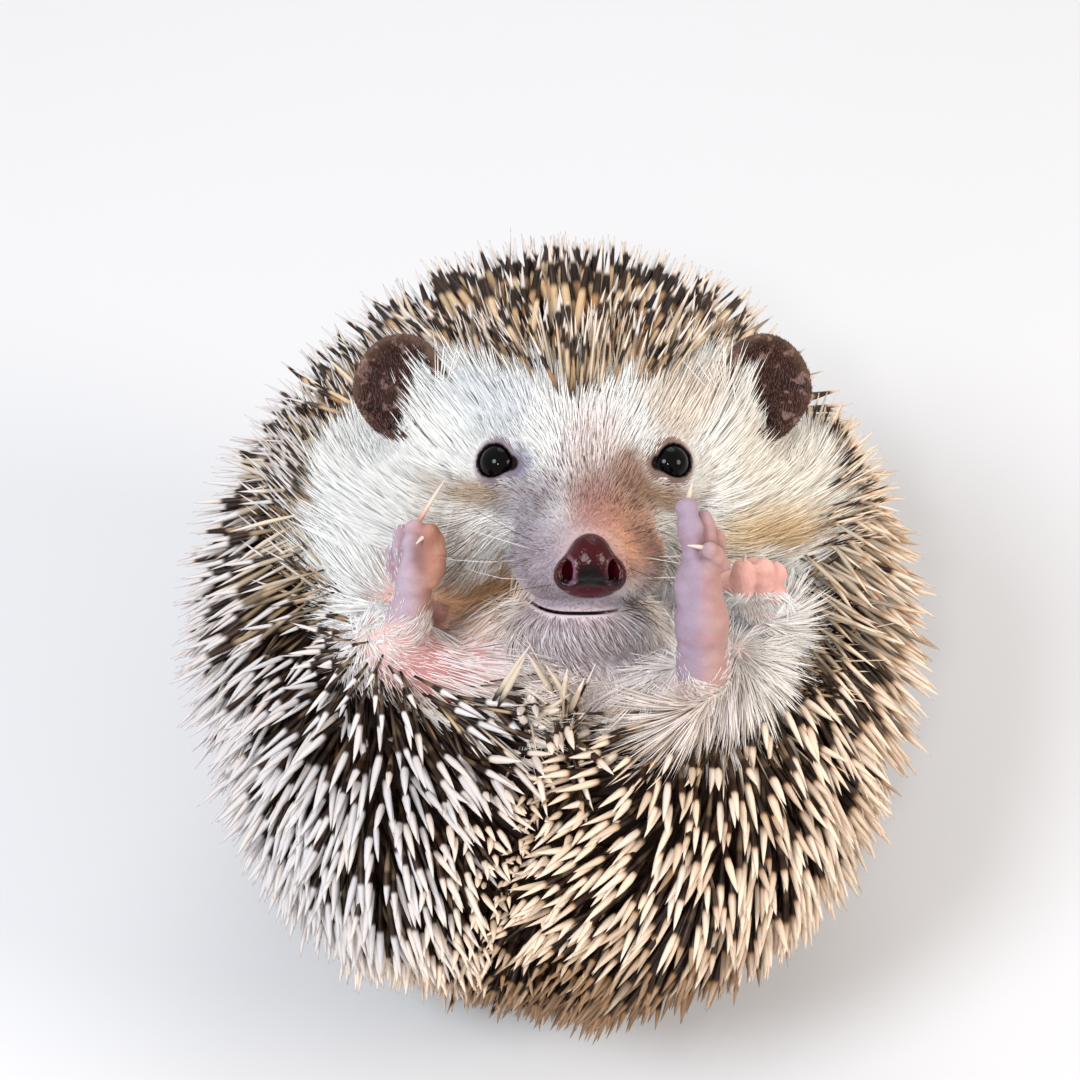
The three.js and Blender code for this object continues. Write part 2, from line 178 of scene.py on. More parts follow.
def local(p, centre, reach, field):
    """A small feature's distance, worked out only near it and far away elsewhere."""
    near = np.max(np.abs(p - np.array(centre, float)[:, None]), axis=0) < reach
    out = np.full(p.shape[1], 9.0)
    if near.any():
        out[near] = field(p[:, near])
    return out


def turned(p, centre, turn):
    """The place as seen from a turned piece's own axes."""
    return turn.T @ (p - np.array(centre, float)[:, None])


def looking(direction, up=(0, 1, 0)):
    """Axes of a piece that faces a direction: columns are its right, its up and its front."""
    front = np.array(direction) / np.linalg.norm(direction)
    right = np.cross(up, front)
    right /= np.linalg.norm(right)
    return np.array([right, np.cross(front, right), front]).T


def fore(point, side):
    """A place on the left fore limb, or its fellow on the right one."""
    if side > 0:
        return tuple(point)
    x, y, z, *more = point
    return (FORE_SHIFT[0] - x, y + FORE_SHIFT[1], z + FORE_SHIFT[2], *more)


def beside(shape, dx):
    (x, y, z), radii = shape
    return ((x + dx, y, z), radii)


# ------------------------------------------------------------ the head


def head_field(p, grow=0.0):
    """The head as the solids have it, grown by so much."""
    d = join(ellipsoid(p, CRANIUM, grow), ellipsoid(p, beside(CHEEK, -CHEEK_SPREAD), grow), 6)
    d = join(d, ellipsoid(p, beside(CHEEK, CHEEK_SPREAD), grow), 6)
    muzzle = round_cone(p, *SNOUT, grow)
    for side in (-1, 1):
        muzzle = join(muzzle, ellipsoid(p, beside(LIP_PAD, side * LIP_SPREAD), grow), 4)
    return join(d, muzzle, 6)


def surface_out(field, x, y, high=60.0):
    """How far out of the opening a field's surface lies over (x, y)."""
    z = np.arange(high, 0, -0.02)
    d = field((np.full_like(z, x), np.full_like(z, y), z))
    return float(z[np.argmax(d <= 0)])


EYES, EYE_TURN = {}, {}
for side in (-1, 1):
    x = FACE_X + side * EYE_SPREAD
    EYES[side] = np.array([x, EYE_HEIGHT, surface_out(head_field, x, EYE_HEIGHT) - EYE_SUNK])
    EYE_TURN[side] = looking((side * 0.5, 0.22, 0.84))
EAR_AT = {side: (FACE_X + side * EAR_SPREAD, EAR_HEIGHT, EAR_OUT) for side in (-1, 1)}
EAR_TURN = {
    side: np.array(
        Matrix.Rotation(-0.12, 3, "X")
        @ Matrix.Rotation(side * 0.42, 3, "Y")
        @ Matrix.Rotation(side * -0.1, 3, "Z")
    )
    for side in (-1, 1)
}


def ear_field(p, side):
    """A thin, crinkled bowl that narrows to its foot, with a dark way in low down."""
    rx, ry, rz = EAR_RADII

    def pinna(p):
        q = turned(p, EAR_AT[side], EAR_TURN[side])
        narrow = 1 - 0.28 * np.clip(-q[1] / ry, 0, 1)
        q[0] /= narrow
        crinkle = np.sin(1.9 * q[0] + np.sin(1.3 * q[1])) * np.sin(1.7 * q[1] - 0.6 * q[0])
        shell = ellipsoid(q, ((0, 0, 0), (rx - 0.15, ry - 0.15, rz - 0.2)))
        bowl = ellipsoid(q, ((side * 0.2, 0.2, 1.7), (rx - 1.0, ry - 1.05, rz - 0.5))) + 0.17 * crinkle
        d = carve(shell, bowl, 0.6)
        d = carve(d, ellipsoid(q, ((-side * 0.3, -3.9, -0.6), (1.2, 2.6, 1.9))), 0.6)
        ridge = round_cone(q, (-side * 2.6, 2.6, -0.9), 0.55, (side * 2.4, -0.6, -1.1), 0.5)
        return join(d, ridge, 0.9) * 0.85

    return local(p, EAR_AT[side], 9.5, pinna)


def eye_parts(p, side):
    """The rise of the face round the eye, the lids, and the almond that they leave open."""
    q = turned(p, EYES[side], EYE_TURN[side])
    rise = ellipsoid(q, ((0, 0, -1.1), (4.6, 4.2, 2.6)))
    lids = ellipsoid(q, ((0, 0, 0.05), (EYE_RADIUS + 0.38, EYE_RADIUS + 0.36, EYE_RADIUS + 0.08)))
    almond = ellipsoid(q, ((0, 0, 2.6), (2.3, 2.12, 3.4)))
    corner = round_cone(q, (-side * 1.3, -0.2, 2.0), 1.35, (-side * 2.5, -0.35, 1.7), 0.85)
    return rise, lids, join(almond, corner, 0.6)


def nostril(p, side):
    """The place as seen from a nostril, which looks forward and out."""
    x, y, z = NOSE[0]
    return turned(p, (x + side * 2.55, y - 0.75, z + 1.35), looking((side * 0.62, -0.05, 0.78)))


def off_rim(q):
    """How far a place lies outside the rim of its nostril, seen from the front."""
    return np.hypot(q[0], q[1] * 0.72) - 0.98


def nose_field(p):
    def leather(p):
        (x, y, z), (rx, ry, rz) = NOSE
        d = ellipsoid(p, ((x, y + 0.3, z), (rx - 0.65, ry - 0.35, rz - 0.1)))
        for side in (-1, 1):
            d = join(d, ellipsoid(p, ((x + side * NOSE_WING, y - 1.3, z - 0.1), (1.58, 1.85, 1.7))), 1.5)
        d = join(d, ellipsoid(p, ((x, y - 2.9, z - 1.1), (2.9, 1.05, 1.9))), 0.25)
        for side in (-1, 1):  # the raised inner rims of the nostrils
            q = nostril(p, side)
            ring = np.hypot(off_rim(q), q[2] + 0.2) - 0.22
            d = join(d, np.maximum(ring, side * q[0] - 0.35), 0.25)
        return d

    return local(p, NOSE[0], 7, leather)


def nostrils(p):
    def holes(p):
        x, y, z = NOSE[0]
        d = round_cone(p, (x, y - 0.9, z + 2.8), 0.22, (x, y - 2.2, z + 2.2), 0.42)  # the groove between
        for side in (-1, 1):
            d = join(d, ellipsoid(nostril(p, side), ((0, 0, 0), (0.68, 1.15, 1.7))), 0.2)
            corner = (x + side * 2.9, y - 1.9, z + 1.0)
            d = join(d, round_cone(p, (x, y - 2.15, z + 2.1), 0.3, corner, 0.22), 0.3)
        return d

    return local(p, NOSE[0], 7, holes)


MOUTH_MIDDLE = (2.2, 4.05)
MOUTH_REACH = {-1: (8.6, 5.1), 1: (5.2, 0.45)}  # of each side: how far it runs, and how far it turns up
MOUTH_BACK = 25


def mouth(p):
    """How far a place lies above the line between the lips, and how far past its ends."""
    off = p[0] - MOUTH_MIDDLE[0]
    share = np.where(off < 0, -off / MOUTH_REACH[-1][0], off / MOUTH_REACH[1][0])
    rise = np.where(off < 0, MOUTH_REACH[-1][1], MOUTH_REACH[1][1])
    return p[1] - MOUTH_MIDDLE[1] - rise * np.minimum(share, 1.3) ** 3, (share - 1) * 5


def mouth_field(p, head):
    """A thin groove under the edge of the upper lip."""
    above, past = mouth(p)
    return np.maximum(np.maximum(np.maximum(np.abs(above) - 0.13, past), -(head + 1.3)), 20 - p[2])


def head_skin(p):
    d = head_field(p, -FUR_DEPTH)
    d = join(d, ellipsoid(p, JAW, -0.9), 0.9)
    for side in (-1, 1):
        near = np.max(np.abs(p - EYES[side][:, None]), axis=0) < 7
        if near.any():
            rise, lids, almond = eye_parts(p[:, near], side)
            d[near] = carve(join(join(d[near], rise, 2.2), lids, 1.0), almond, 0.3)
    d = carve(d, mouth_field(p, d), 0.35)
    d = join(d, nose_field(p), 0.55)
    return carve(d, nostrils(p), 0.35)


# ------------------------------------------------------------ the limbs and the whole skin


def toe_field(p, root, tip, thick=TOE_THICK):
    a, b = np.array(root), np.array(tip)
    knuckle = a * 0.45 + b * 0.55
    d = round_cone(p, a, 1.15 * thick, b, 0.85 * thick)
    d = join(d, ellipsoid(p, (tuple(knuckle), (1.2 * thick,) * 3)), 0.7)
    pad = tuple(b + np.array([0, -0.25, 0.15]))
    return join(d, ellipsoid(p, (pad, (1.05 * thick, 0.98 * thick, 1.02 * thick))), 0.5)


def foot_field(p, side):
    def foot(p):
        d = chain(p, HIND_FOOT[side], -0.25, 2)
        d = join(d, ellipsoid(p, HIND_PAD[side], -0.15), 0.45)
        for (root, tip, _), share in zip(HIND_TOES[side], HIND_TOE_SHARE[side]):
            d = join(d, toe_field(p, root, tip, TOE_THICK * share), 0.35)
        crease = np.sin(3.3 * p[1] + 1.2 * np.sin(1.1 * p[0] + 0.7 * p[2])) * np.sin(0.9 * p[0] + 1.4)
        return d + 0.08 * crease

    return local(p, HIND_FOOT[side][1][:3], 17, foot)


def paw_field(p, side):
    def paw(p):
        d = chain(p, [fore(s, side) for s in FORE_PAW], -0.25, 1.5)
        for root, tip, _ in FORE_TOES:
            d = join(d, toe_field(p, fore(root, side), fore(tip, side)), 0.25)
        return d + 0.04 * np.sin(3.4 * p[1] + p[0])

    return local(p, fore((23.5, 8, 31), side), 10, paw)


def leg_field(p, side):
    """Thigh and shank, which the fur covers, and the upper arm."""
    leg = chain(p, HIND_LEG[side], -1.2, 3)
    arm = chain(p, [fore(s, side) for s in FORE_LEG], -1.0, 3)
    return np.minimum(leg, arm)


def trunk_field(p):
    d = join(ellipsoid(p, COAT, -COAT_DEPTH), ellipsoid(p, CROWN, -COAT_DEPTH), 8)
    d = join(d, ellipsoid(p, RUMP, -COAT_DEPTH), 8)
    d = carve(d, ellipsoid(p, HOLLOW, BELLY_DEPTH), 8)
    d = join(d, ellipsoid(p, CHEST, -BELLY_DEPTH), 5)
    d = join(d, chain(p, TAIL), 2)
    for side in (-1, 1):
        d = join(d, leg_field(p, side), 2.5)
    return d


def body_parts(p):
    """Trunk, head, ears, hind feet and forepaws, apart."""
    pairs = [[field(p, side) for side in (-1, 1)] for field in (ear_field, foot_field, paw_field)]
    return trunk_field(p), head_skin(p), *[np.minimum(a, b) for a, b in pairs]


def skin_field(p):
    trunk, head, ears, feet, paws = body_parts(p)
    d = join(join(trunk, head, 4), ears, 1.2)
    return join(join(d, feet, 1.6), paws, 1.0)


def unit(v):
    return v / np.maximum(np.linalg.norm(v, axis=-1, keepdims=True), 1e-9)


def value_and_slope(points, step=0.02):
    """The skin's distance and its gradient at a list of points."""
    p = points.T
    d = skin_field(p)
    slopes = [skin_field(p + step * np.eye(3)[:, axis : axis + 1]) - d for axis in range(3)]
    return d, np.stack(slopes, 1) / step


# ------------------------------------------------------------ from the pose frame to the floor

c, s = math.cos(REST_TURN), math.sin(REST_TURN)
LEAN = np.array([[1, 0, 0], [0, c, -s], [0, s, c]])
eye_boxes = [np.array(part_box(n)) for n in ("eye_left", "eye_right")]
SHIFT = np.mean(eye_boxes, axis=(0, 1)) - LEAN @ ((EYES[1] + EYES[-1]) / 2) * MM
FLOOR = float(SHIFT[2] / MM)  # how far the pose frame's origin stands above the floor


def placed(points):
    return points @ LEAN.T * MM + SHIFT


def height(points):
    return points @ LEAN[2] + FLOOR


# ------------------------------------------------------------ meshes


def added(name, data):
    """A new object in the scene."""
    made = bpy.data.objects.new(name, data)
    bpy.context.scene.collection.objects.link(made)
    return made


def mesh_piece(name, corners, faces, attributes=None, uv=None):
    """A mesh from arrays. faces is a list of (n, sides) arrays; attributes are values at the corners."""
    mesh = bpy.data.meshes.new(name)
    loops = np.concatenate([f.ravel() for f in faces]).astype(np.int32)
    sides = np.concatenate([np.full(len(f), f.shape[1]) for f in faces])
    mesh.vertices.add(len(corners))
    mesh.vertices.foreach_set("co", placed(corners).astype(np.float32).ravel())
    mesh.loops.add(len(loops))
    mesh.loops.foreach_set("vertex_index", loops)
    mesh.polygons.add(len(sides))
    mesh.polygons.foreach_set("loop_start", (np.cumsum(sides) - sides).astype(np.int32))
    mesh.polygons.foreach_set("use_smooth", np.full(len(sides), True))
    for key, values in (attributes or {}).items():
        kind, field = ("FLOAT_COLOR", "color") if values.ndim == 2 else ("FLOAT", "value")
        if values.ndim == 2:
            values = np.column_stack([values, np.ones(len(values))])
        made = mesh.attributes.new(key, kind, "POINT")
        made.data.foreach_set(field, values.astype(np.float32).ravel())
    if uv is not None:
        mesh.uv_layers.new(name="OFBake").data.foreach_set("uv", uv[loops].astype(np.float32).ravel())
    mesh.validate()
    mesh.update()
    return added(name, mesh)


def graded(low, high, coarse, spans):
    """Grid lines from low to high: fine inside the spans (from, to, step), coarse outside."""
    out = [low]
    while out[-1] < high:
        t = out[-1]
        out.append(t + min([coarse] + [step + 0.25 * max(a - t, t - b, 0.0) for a, b, step in spans]))
    return np.array(out)


def sampled(lines, block=4):
    """The skin's distance over a grid, worked out point by point only near the skin."""
    sizes = [len(line) for line in lines]
    starts = [np.arange(0, n, block) for n in sizes]
    ends = [np.minimum(s + block - 1, n - 1) for s, n in zip(starts, sizes)]
    middles = [(line[a] + line[b]) / 2 for line, a, b in zip(lines, starts, ends)]
    halves = [(line[b] - line[a]) / 2 for line, a, b in zip(lines, starts, ends)]
    grid = np.stack([g.ravel() for g in np.meshgrid(*middles, indexing="ij")])
    reach = np.sqrt(sum(h.ravel() ** 2 for h in np.meshgrid(*halves, indexing="ij")))
    rough = skin_field(grid)
    shape = [len(s) for s in starts]
    d = rough.reshape(shape)
    for axis, n in enumerate(sizes):
        d = np.repeat(d, block, axis)
        d = np.take(d, np.arange(n), axis)
    close = np.argwhere((np.abs(rough) < 1.6 * reach + 0.6).reshape(shape)) * block
    step = np.stack(np.meshgrid(*[np.arange(block)] * 3, indexing="ij"), -1).reshape(-1, 3)
    spots = np.minimum((close[:, None] + step[None]).reshape(-1, 3), np.array(sizes) - 1)
    for i in range(0, len(spots), 250000):
        part = spots[i : i + 250000]
        d[tuple(part.T)] = skin_field(np.stack([lines[m][part[:, m]] for m in range(3)]))
    return d


def skinned(lines):
    """One closed surface through the grid cells that the skin passes, then drawn onto the skin."""
    d = sampled(lines)
    inside = d < 0
    n = np.array(d.shape)
    count = np.zeros(n - 1, np.int8)
    for i, j, k in np.ndindex(2, 2, 2):
        count += inside[i : n[0] - 1 + i, j : n[1] - 1 + j, k : n[2] - 1 + k]
    cells = np.argwhere((count > 0) & (count < 8))
    number = np.full(n - 1, -1, np.int32)
    number[tuple(cells.T)] = np.arange(len(cells))
    total, hits = np.zeros((len(cells), 3)), np.zeros(len(cells))
    for axis in range(3):
        u, v = [a for a in range(3) if a != axis]
        for du, dv in np.ndindex(2, 2):
            a = cells.copy()
            a[:, u] += du
            a[:, v] += dv
            b = a.copy()
            b[:, axis] += 1
            da, db = d[tuple(a.T)], d[tuple(b.T)]
            cut = (da < 0) != (db < 0)
            t = np.where(cut, da / np.where(cut, da - db, 1), 0)
            place = np.stack([lines[m][a[:, m]] for m in range(3)], 1)
            place[:, axis] += t * (lines[axis][b[:, axis]] - lines[axis][a[:, axis]])
            total += place * cut[:, None]
            hits += cut
    corners = total / hits[:, None]
    faces = []
    for axis in range(3):
        u, v = (axis + 1) % 3, (axis + 2) % 3
        low, high = [slice(None)] * 3, [slice(None)] * 3
        low[axis], high[axis] = slice(0, -1), slice(1, None)
        edge = np.argwhere(inside[tuple(low)] != inside[tuple(high)])
        quad = []
        for du, dv in ((1, 1), (0, 1), (0, 0), (1, 0)):
            cell = edge.copy()
            cell[:, u] -= du
            cell[:, v] -= dv
            quad.append(number[tuple(cell.T)])
        quad = np.stack(quad, 1)
        faces.append(np.where(inside[tuple(edge.T)][:, None], quad, quad[:, ::-1]))
    for _ in range(2):
        d, g = value_and_slope(corners)
        corners -= np.clip(d[:, None] * g / np.maximum((g * g).sum(1, keepdims=True), 0.2), -0.4, 0.4)
    return corners, np.concatenate(faces)


FINE_ACROSS = [(-2, 9, 0.25), (-9.5, -3.5, 0.25), (10, 17, 0.25), (-26, -13, 0.5), (19, 33, 0.5)]
GRID = (
    graded(-44, 44, 0.9, FINE_ACROSS),
    graded(-46, 46, 0.9, [(3, 24, 0.26), (24, 38.5, 0.5)]),
    graded(-42, 51, 0.9, [(30, 49, 0.27), (13.5, 30, 0.5)]),
)
skin_corners, skin_faces = skinned(GRID)
skin_normals = unit(value_and_slope(skin_corners)[1])

# ------------------------------------------------------------ regions and markings


def blend(low, high, value):
    """0 before low, 1 past high, smooth between; low may be the larger."""
    t = np.clip((value - low) / (high - low), 0, 1)
    return t * t * (3 - 2 * t)


def mixed(a, b, share):
    """Colours or directions a, which turn into b as the share at each place goes from 0 to 1."""
    w = share[:, None]
    return a * (1 - w) + b * w


def either(mask, a, b):
    """Row by row: a where the mask holds, b elsewhere."""
    return np.where(mask[:, None], a, b)


def distance(p, place):
    """How far each place in a list lies from one place."""
    return np.linalg.norm(p - np.array(place), axis=1)


def from_hips(p):
    return np.min([distance(p, HIPS[side]) for side in (-1, 1)], axis=0)


def fur_reach(p):
    """How far inside the furred opening a place lies; negative among the spines."""
    dx, dy = p[:, 0] - FUR_MIDDLE[0], p[:, 1] - FUR_MIDDLE[1]
    edges = np.array(FUR_EDGE)
    clock = np.mod(np.arctan2(dy, dx) / (2 * np.pi) * len(edges), len(edges))
    i = np.floor(clock).astype(int)
    t = (1 - np.cos((clock - i) * np.pi)) / 2
    edge = edges[i % len(edges)] * (1 - t) + edges[(i + 1) % len(edges)] * t
    return np.minimum(edge - np.hypot(dx, dy), p[:, 2] * 1.5)


def tone(code):
    """A colour in the six-letter form, as light."""
    values = [int(code[i : i + 2], 16) / 255 for i in (0, 2, 4)]
    return np.array([v / 12.92 if v <= 0.04045 else ((v + 0.055) / 1.055) ** 2.4 for v in values])


def wander(p, size, seed=0.0):
    """A smooth wandering direction at each place, about one turn every `size` millimetres."""
    return np.array([noise.noise_vector(Vector(q)) for q in p / size + seed])


def painted(base, p, patches):
    """A base colour with soft patches over it: middle, radii, colour, strength."""
    colour = np.tile(base, (len(p), 1))
    for middle, radii, paint, strength in patches:
        d2 = (((p - np.array(middle)) / np.array(radii)) ** 2).sum(1)
        colour = mixed(colour, tone(paint), strength * np.exp(-d2 * d2))
    return colour


TRUNK, HEAD, EAR, FOOT, PAW = range(5)
COAT_PATCHES = (
    ((3.6, 9.5, 45), (8.5, 7.5, 7), "a89092", 0.9),  # round the nose
    ((-14.0, -2.5, 28), (9, 4.5, 12), "eccbc8", 0.75),  # below each hip
    ((14.0, -6.5, 30), (9, 3.5, 12), "e8d0d6", 0.7),
    ((-4.4, 21.2, 33), (2.0, 2.2, 6), "6f74a4", 0.8),  # a painted bluish reflection on the wet inner corner of the right eye
    ((24.5, 11.2, 24), (4.5, 1.7, 9), "8a6238", 0.85),  # painted shadow between the left forepaw and the cheek fur above it
    ((3.0, -4.0, 28), (12, 7, 16), "f3e6e8", 0.9),  # chest
    ((3.0, 2.0, 34), (9, 4, 9), "bfabb6", 0.8),  # chin
    ((11.5, 4.5, 32), (4, 4, 9), "e4dcd6", 0.7),
    ((4.2, 21.0, 34), (3.6, 7, 9), "e6bfba", 0.35),  # bridge of the nose
    ((4.6, 16.2, 39), (3.8, 4.4, 9), "aa6f63", 0.85),
    ((9.2, 13.0, 38), (4.6, 5.4, 9), "d69c78", 0.9),
    ((8.4, 19.4, 33), (2.8, 3.2, 7), "a5683c", 0.8),
    ((12.4, 17.4, 31), (4.6, 1.9, 6), "a87d4e", 0.8),
    ((-9.6, 18.0, 28), (4.8, 1.7, 7), "b28c5c", 0.8),
    ((-2.8, 16.2, 33), (5.0, 3.6, 8), "a596a4", 0.75),
    ((-2.8, 10.2, 38), (5.4, 5.2, 9), "a496a4", 0.9),
    ((1.0, 5.6, 38), (7.6, 1.5, 9), "a092a0", 0.85),  # upper lip
    ((-11.4, 13.6, 27), (4.6, 3.6, 7), "ead6c2", 0.7),
    # tan in the hollow beside the right hind foot: partly the coat's own tone, partly painted shade
    ((-10.5, 5.4, 24), (6.6, 5.0, 24), "c99866", 0.95),
    ((22.5, 12.6, 22), (7.5, 2.6, 9), "e3bf7e", 0.75),
    ((24.5, 20.0, 20), (8.5, 6.5, 10), "fbf2e2", 0.8),
    ((-22.0, 16.0, 20), (8.0, 8.0, 10), "fbfaf8", 0.8),
    ((15.5, 27.5, 28), (6.0, 3.4, 9), "e6cdb2", 0.6),  # over the left eye
    ((-7.5, 27.5, 28), (6.0, 3.4, 9), "dfe3ea", 0.6),
)
HIDE_PATCHES = (
    ((-13.5, -3.0, 28), (10, 5.5, 12), "ab7478", 0.9),  # the bare folds beside the hips
    ((-12.5, -7.0, 28), (7.5, 1.7, 12), "6a2a22", 0.9),
    # the hollow beside the right hind foot: partly the skin's own tan, partly painted shade
    ((-11.5, 5.5, 26), (5.5, 4.2, 14), "d9a878", 0.9),
    ((4.0, -4.0, 26), (12, 5, 14), "e9d3d2", 0.9),
    ((-23.5, -4.0, 25), (2.4, 3.2, 12), "4a3c4c", 0.8),
    ((21.0, -0.5, 28), (5, 5, 12), "e6cfc6", 0.9),
    ((-21.9, 0.9, 29), (4.0, 3.4, 12), "dcb9b4", 0.85),
)
NOSE_PATCHES = (
    ((3.6, 7.9, 48), (4.5, 0.9, 3), "080203", 1.0),  # the shade over the lip
    # painted shade in the groove below the middle of the nose
    ((3.4, 8.6, 49), (1.9, 1.3, 3), "080203", 1.0),
    ((3.6, 6.4, 47), (3.6, 1.0, 4), "3d0717", 1.0),
    ((1.2, 12.0, 48), (1.3, 1.6, 3), "451926", 0.6),
)
NOSTRIL_RIM_HIGHLIGHT = {-1: 0.7, 1: 0.12}  # how strong the painted highlight on the inner rim of each nostril is
SOLES = {1: ("9a8899", "ad8a84"), -1: ("ab99a6", "b0836f")}  # the two tones across each foot
LIDS = {-1: "6c5f6c", 1: "5c4030"}


def ear_colour(p):
    """Dark within, with painted shade at the way in and a paler rim: partly its own tone, partly a painted
    highlight.
    """
    out = np.zeros_like(p)
    for side in (-1, 1):
        q = turned(p.T, EAR_AT[side], EAR_TURN[side])
        # The paler rim: partly the ear's own tone, partly a painted highlight.
        rim = blend(0.74, 1.0, np.hypot(q[0] / EAR_RADII[0], q[1] / EAR_RADII[1]))
        # The way in is painted nearly black: a painted shade.
        hole = np.exp(-((((q[0] + side * 0.3) / 1.7) ** 2 + ((q[1] + 3.9) / 2.8) ** 2) ** 2))
        colour = mixed(mixed(tone("301511"), tone("66503f"), rim), tone("060202"), hole)
        out = either(np.sign(p[:, 0] - FACE_X) == side, colour, out)
    return out


def coat_colour(p, part):
    """The colour of the hair that grows at a place."""
    colour = painted(tone("fdfcfa"), p, COAT_PATCHES)
    colour = mixed(colour, tone("f0dfc6"), blend(2, -8, p[:, 1]) * (part == TRUNK) * 0.6)
    return either(part == EAR, tone("6b4a40"), colour)


def between_toes(p, side):
    """How much nearer the nearest toe or pad of a side lies than the next one."""
    toes = [round_cone(p, a, 1.3, b, 1.2) for a, b, _ in HIND_TOES[side]] + [ellipsoid(p, HIND_PAD[side])]
    toes += [round_cone(p, fore(a, side), 1.3, fore(b, side), 1.2) for a, b, _ in FORE_TOES]
    nearest = np.sort(toes, axis=0)
    return nearest[1] - nearest[0] + np.maximum(nearest[0] - 0.2, 0) * 3


def skin_colour(p, part, reach):
    """The skin's colour: nearly black among the spines, and the hair's colour darkened on the face, both
    painted shade.
    """
    # Among the spines the skin is painted nearly black: painted shade in the gaps between them.
    colour = mixed(painted(tone("cfa79f"), p, HIDE_PATCHES), tone("241510"), blend(1.5, -2.5, reach))
    # Under the face's fur the skin takes the hair's colour, darkened as a painted shade that deepens the
    # gaps between hairs, less so near the bare nose.
    furred, bald = np.array([0.88, 0.8, 0.8]), np.array([0.93, 0.88, 0.88])
    face = coat_colour(p, part) * mixed(furred, bald, blend(20, 11, distance(p, NOSE[0])))
    for side in (-1, 1):
        corner = np.linalg.norm(p - EYES[side] + (side * 0.9, 0.1, 0), axis=1)
        face = mixed(face, tone(LIDS[side]), blend(4.9, 3.2, corner) * 0.9)
    colour = either(part == HEAD, face, colour)
    for side in (-1, 1):
        sole = mixed(*(tone(code) for code in SOLES[side]), blend(-1.6, 1.6, p[:, 0] - SOLE_TURN[side]))
        colour = either((part == FOOT) & (p[:, 0] * side > 0), sole, colour)
        # The creases between toes and pads are darkened: partly painted shade, partly dirt.
        fold = np.exp(-((between_toes(p.T, side) / 0.5) ** 2)) * (part >= FOOT) * 0.6
        colour = mixed(colour, tone("6b3430"), fold)
    return either(part == EAR, ear_colour(p), either(part == PAW, tone("dcaaa0"), colour))


def masks(p):
    """Where the skin is nose leather, and where it is the dark, wet rim of an eye."""
    q = p.T
    eye = np.min([np.abs(local(q, EYES[s], 6, lambda r: eye_parts(r, s)[2])) for s in (-1, 1)], axis=0)
    return blend(0.5, 0.12, nose_field(q)), blend(0.3, 0.1, eye)


def smoothed(values, faces, rounds):
    """Values at the corners, evened out with their neighbours'."""
    pairs = np.concatenate([faces[:, [i, (i + 1) % 4]] for i in range(4)])
    flat = values.reshape(len(values), -1)
    for _ in range(rounds):
        total, hits = np.zeros_like(flat), np.zeros(len(flat))
        for a, b in (pairs.T, pairs.T[::-1]):
            for k in range(flat.shape[1]):
                total[:, k] += np.bincount(a, flat[b, k], len(flat))
            hits += np.bincount(a, minlength=len(flat))
        flat = 0.4 * flat + 0.6 * total / np.maximum(hits, 1)[:, None]
    return flat.reshape(values.shape)


trunk_reach, *other_reaches = body_parts(skin_corners.T)
skin_part = np.argmin([trunk_reach + 0.25, *other_reaches], axis=0)
ankle = np.where(skin_corners[:, 0] > 0, ANKLE[1], ANKLE[-1])
wrist = np.where(skin_corners[:, 0] > 0, WRIST, WRIST + FORE_SHIFT[1])
furred = (skin_part == FOOT) & (skin_corners[:, 1] < ankle)
furred |= (skin_part == PAW) & (skin_corners[:, 1] < wrist)
skin_part[furred] = TRUNK
skin_reach = fur_reach(skin_corners)
skin_tint = smoothed(skin_colour(skin_corners, skin_part, skin_reach), skin_faces, 4)
skin_nose, skin_rim = masks(skin_corners)
bare = np.isin(skin_part, (EAR, FOOT, PAW)).astype(float)
nose_tint = painted(tone("38070d"), skin_corners, NOSE_PATCHES)
# A painted highlight on the inner rim of each nostril, much stronger on the right one.
for side in (-1, 1):
    q = nostril(skin_corners.T, side)
    pale = blend(0.35, 0.12, np.abs(off_rim(q))) * (side * q[0] < 0) * (np.abs(q[2]) < 0.9)
    nose_tint = nose_tint + (tone("7a5468") - nose_tint) * (NOSTRIL_RIM_HIGHLIGHT[side] * pale)[:, None]
skin_tint = skin_tint + (nose_tint - skin_tint) * skin_nose[:, None]
marks = {"tint": skin_tint, "wet": skin_nose, "rim": skin_rim, "bare": smoothed(bare, skin_faces, 3)}
marks["ear"] = smoothed((skin_part == EAR).astype(float), skin_faces, 2)
above, past = mouth(skin_corners.T)
marks["lip"] = np.clip(above, -3, 3)
marks["mouth"] = blend(0, -3, past) * blend(MOUTH_BACK, MOUTH_BACK + 8, skin_corners[:, 2])
skin = mesh_piece("skin", skin_corners, [skin_faces], marks)
# Where the spines hide the skin it needs fewer faces.
hidden = skin.vertex_groups.new(name="under_spines")
hidden.add(np.flatnonzero((skin_reach < -6) & (skin_part == TRUNK)).tolist(), 1.0, "REPLACE")
thin = skin.modifiers.new("thin", "DECIMATE")
thin.ratio, thin.vertex_group = SKIN_KEPT, hidden.name
fine_mesh = skin.data
skin.data = bpy.data.meshes.new_from_object(skin.evaluated_get(bpy.context.evaluated_depsgraph_get()))
skin.modifiers.clear()
skin.vertex_groups.clear()
bpy.data.meshes.remove(fine_mesh)

# ------------------------------------------------------------ where things grow

tri = np.concatenate([skin_faces[:, [0, 1, 2]], skin_faces[:, [0, 2, 3]]])
tri_points = skin_corners[tri]
tri_edges = tri_points[:, 1:] - tri_points[:, :1]
tri_area = np.linalg.norm(np.cross(tri_edges[:, 0], tri_edges[:, 1]), axis=1) / 2
tri_middle = tri_points.mean(1)
tri_part, tri_reach = skin_part[tri[:, 0]], skin_reach[tri].mean(1)


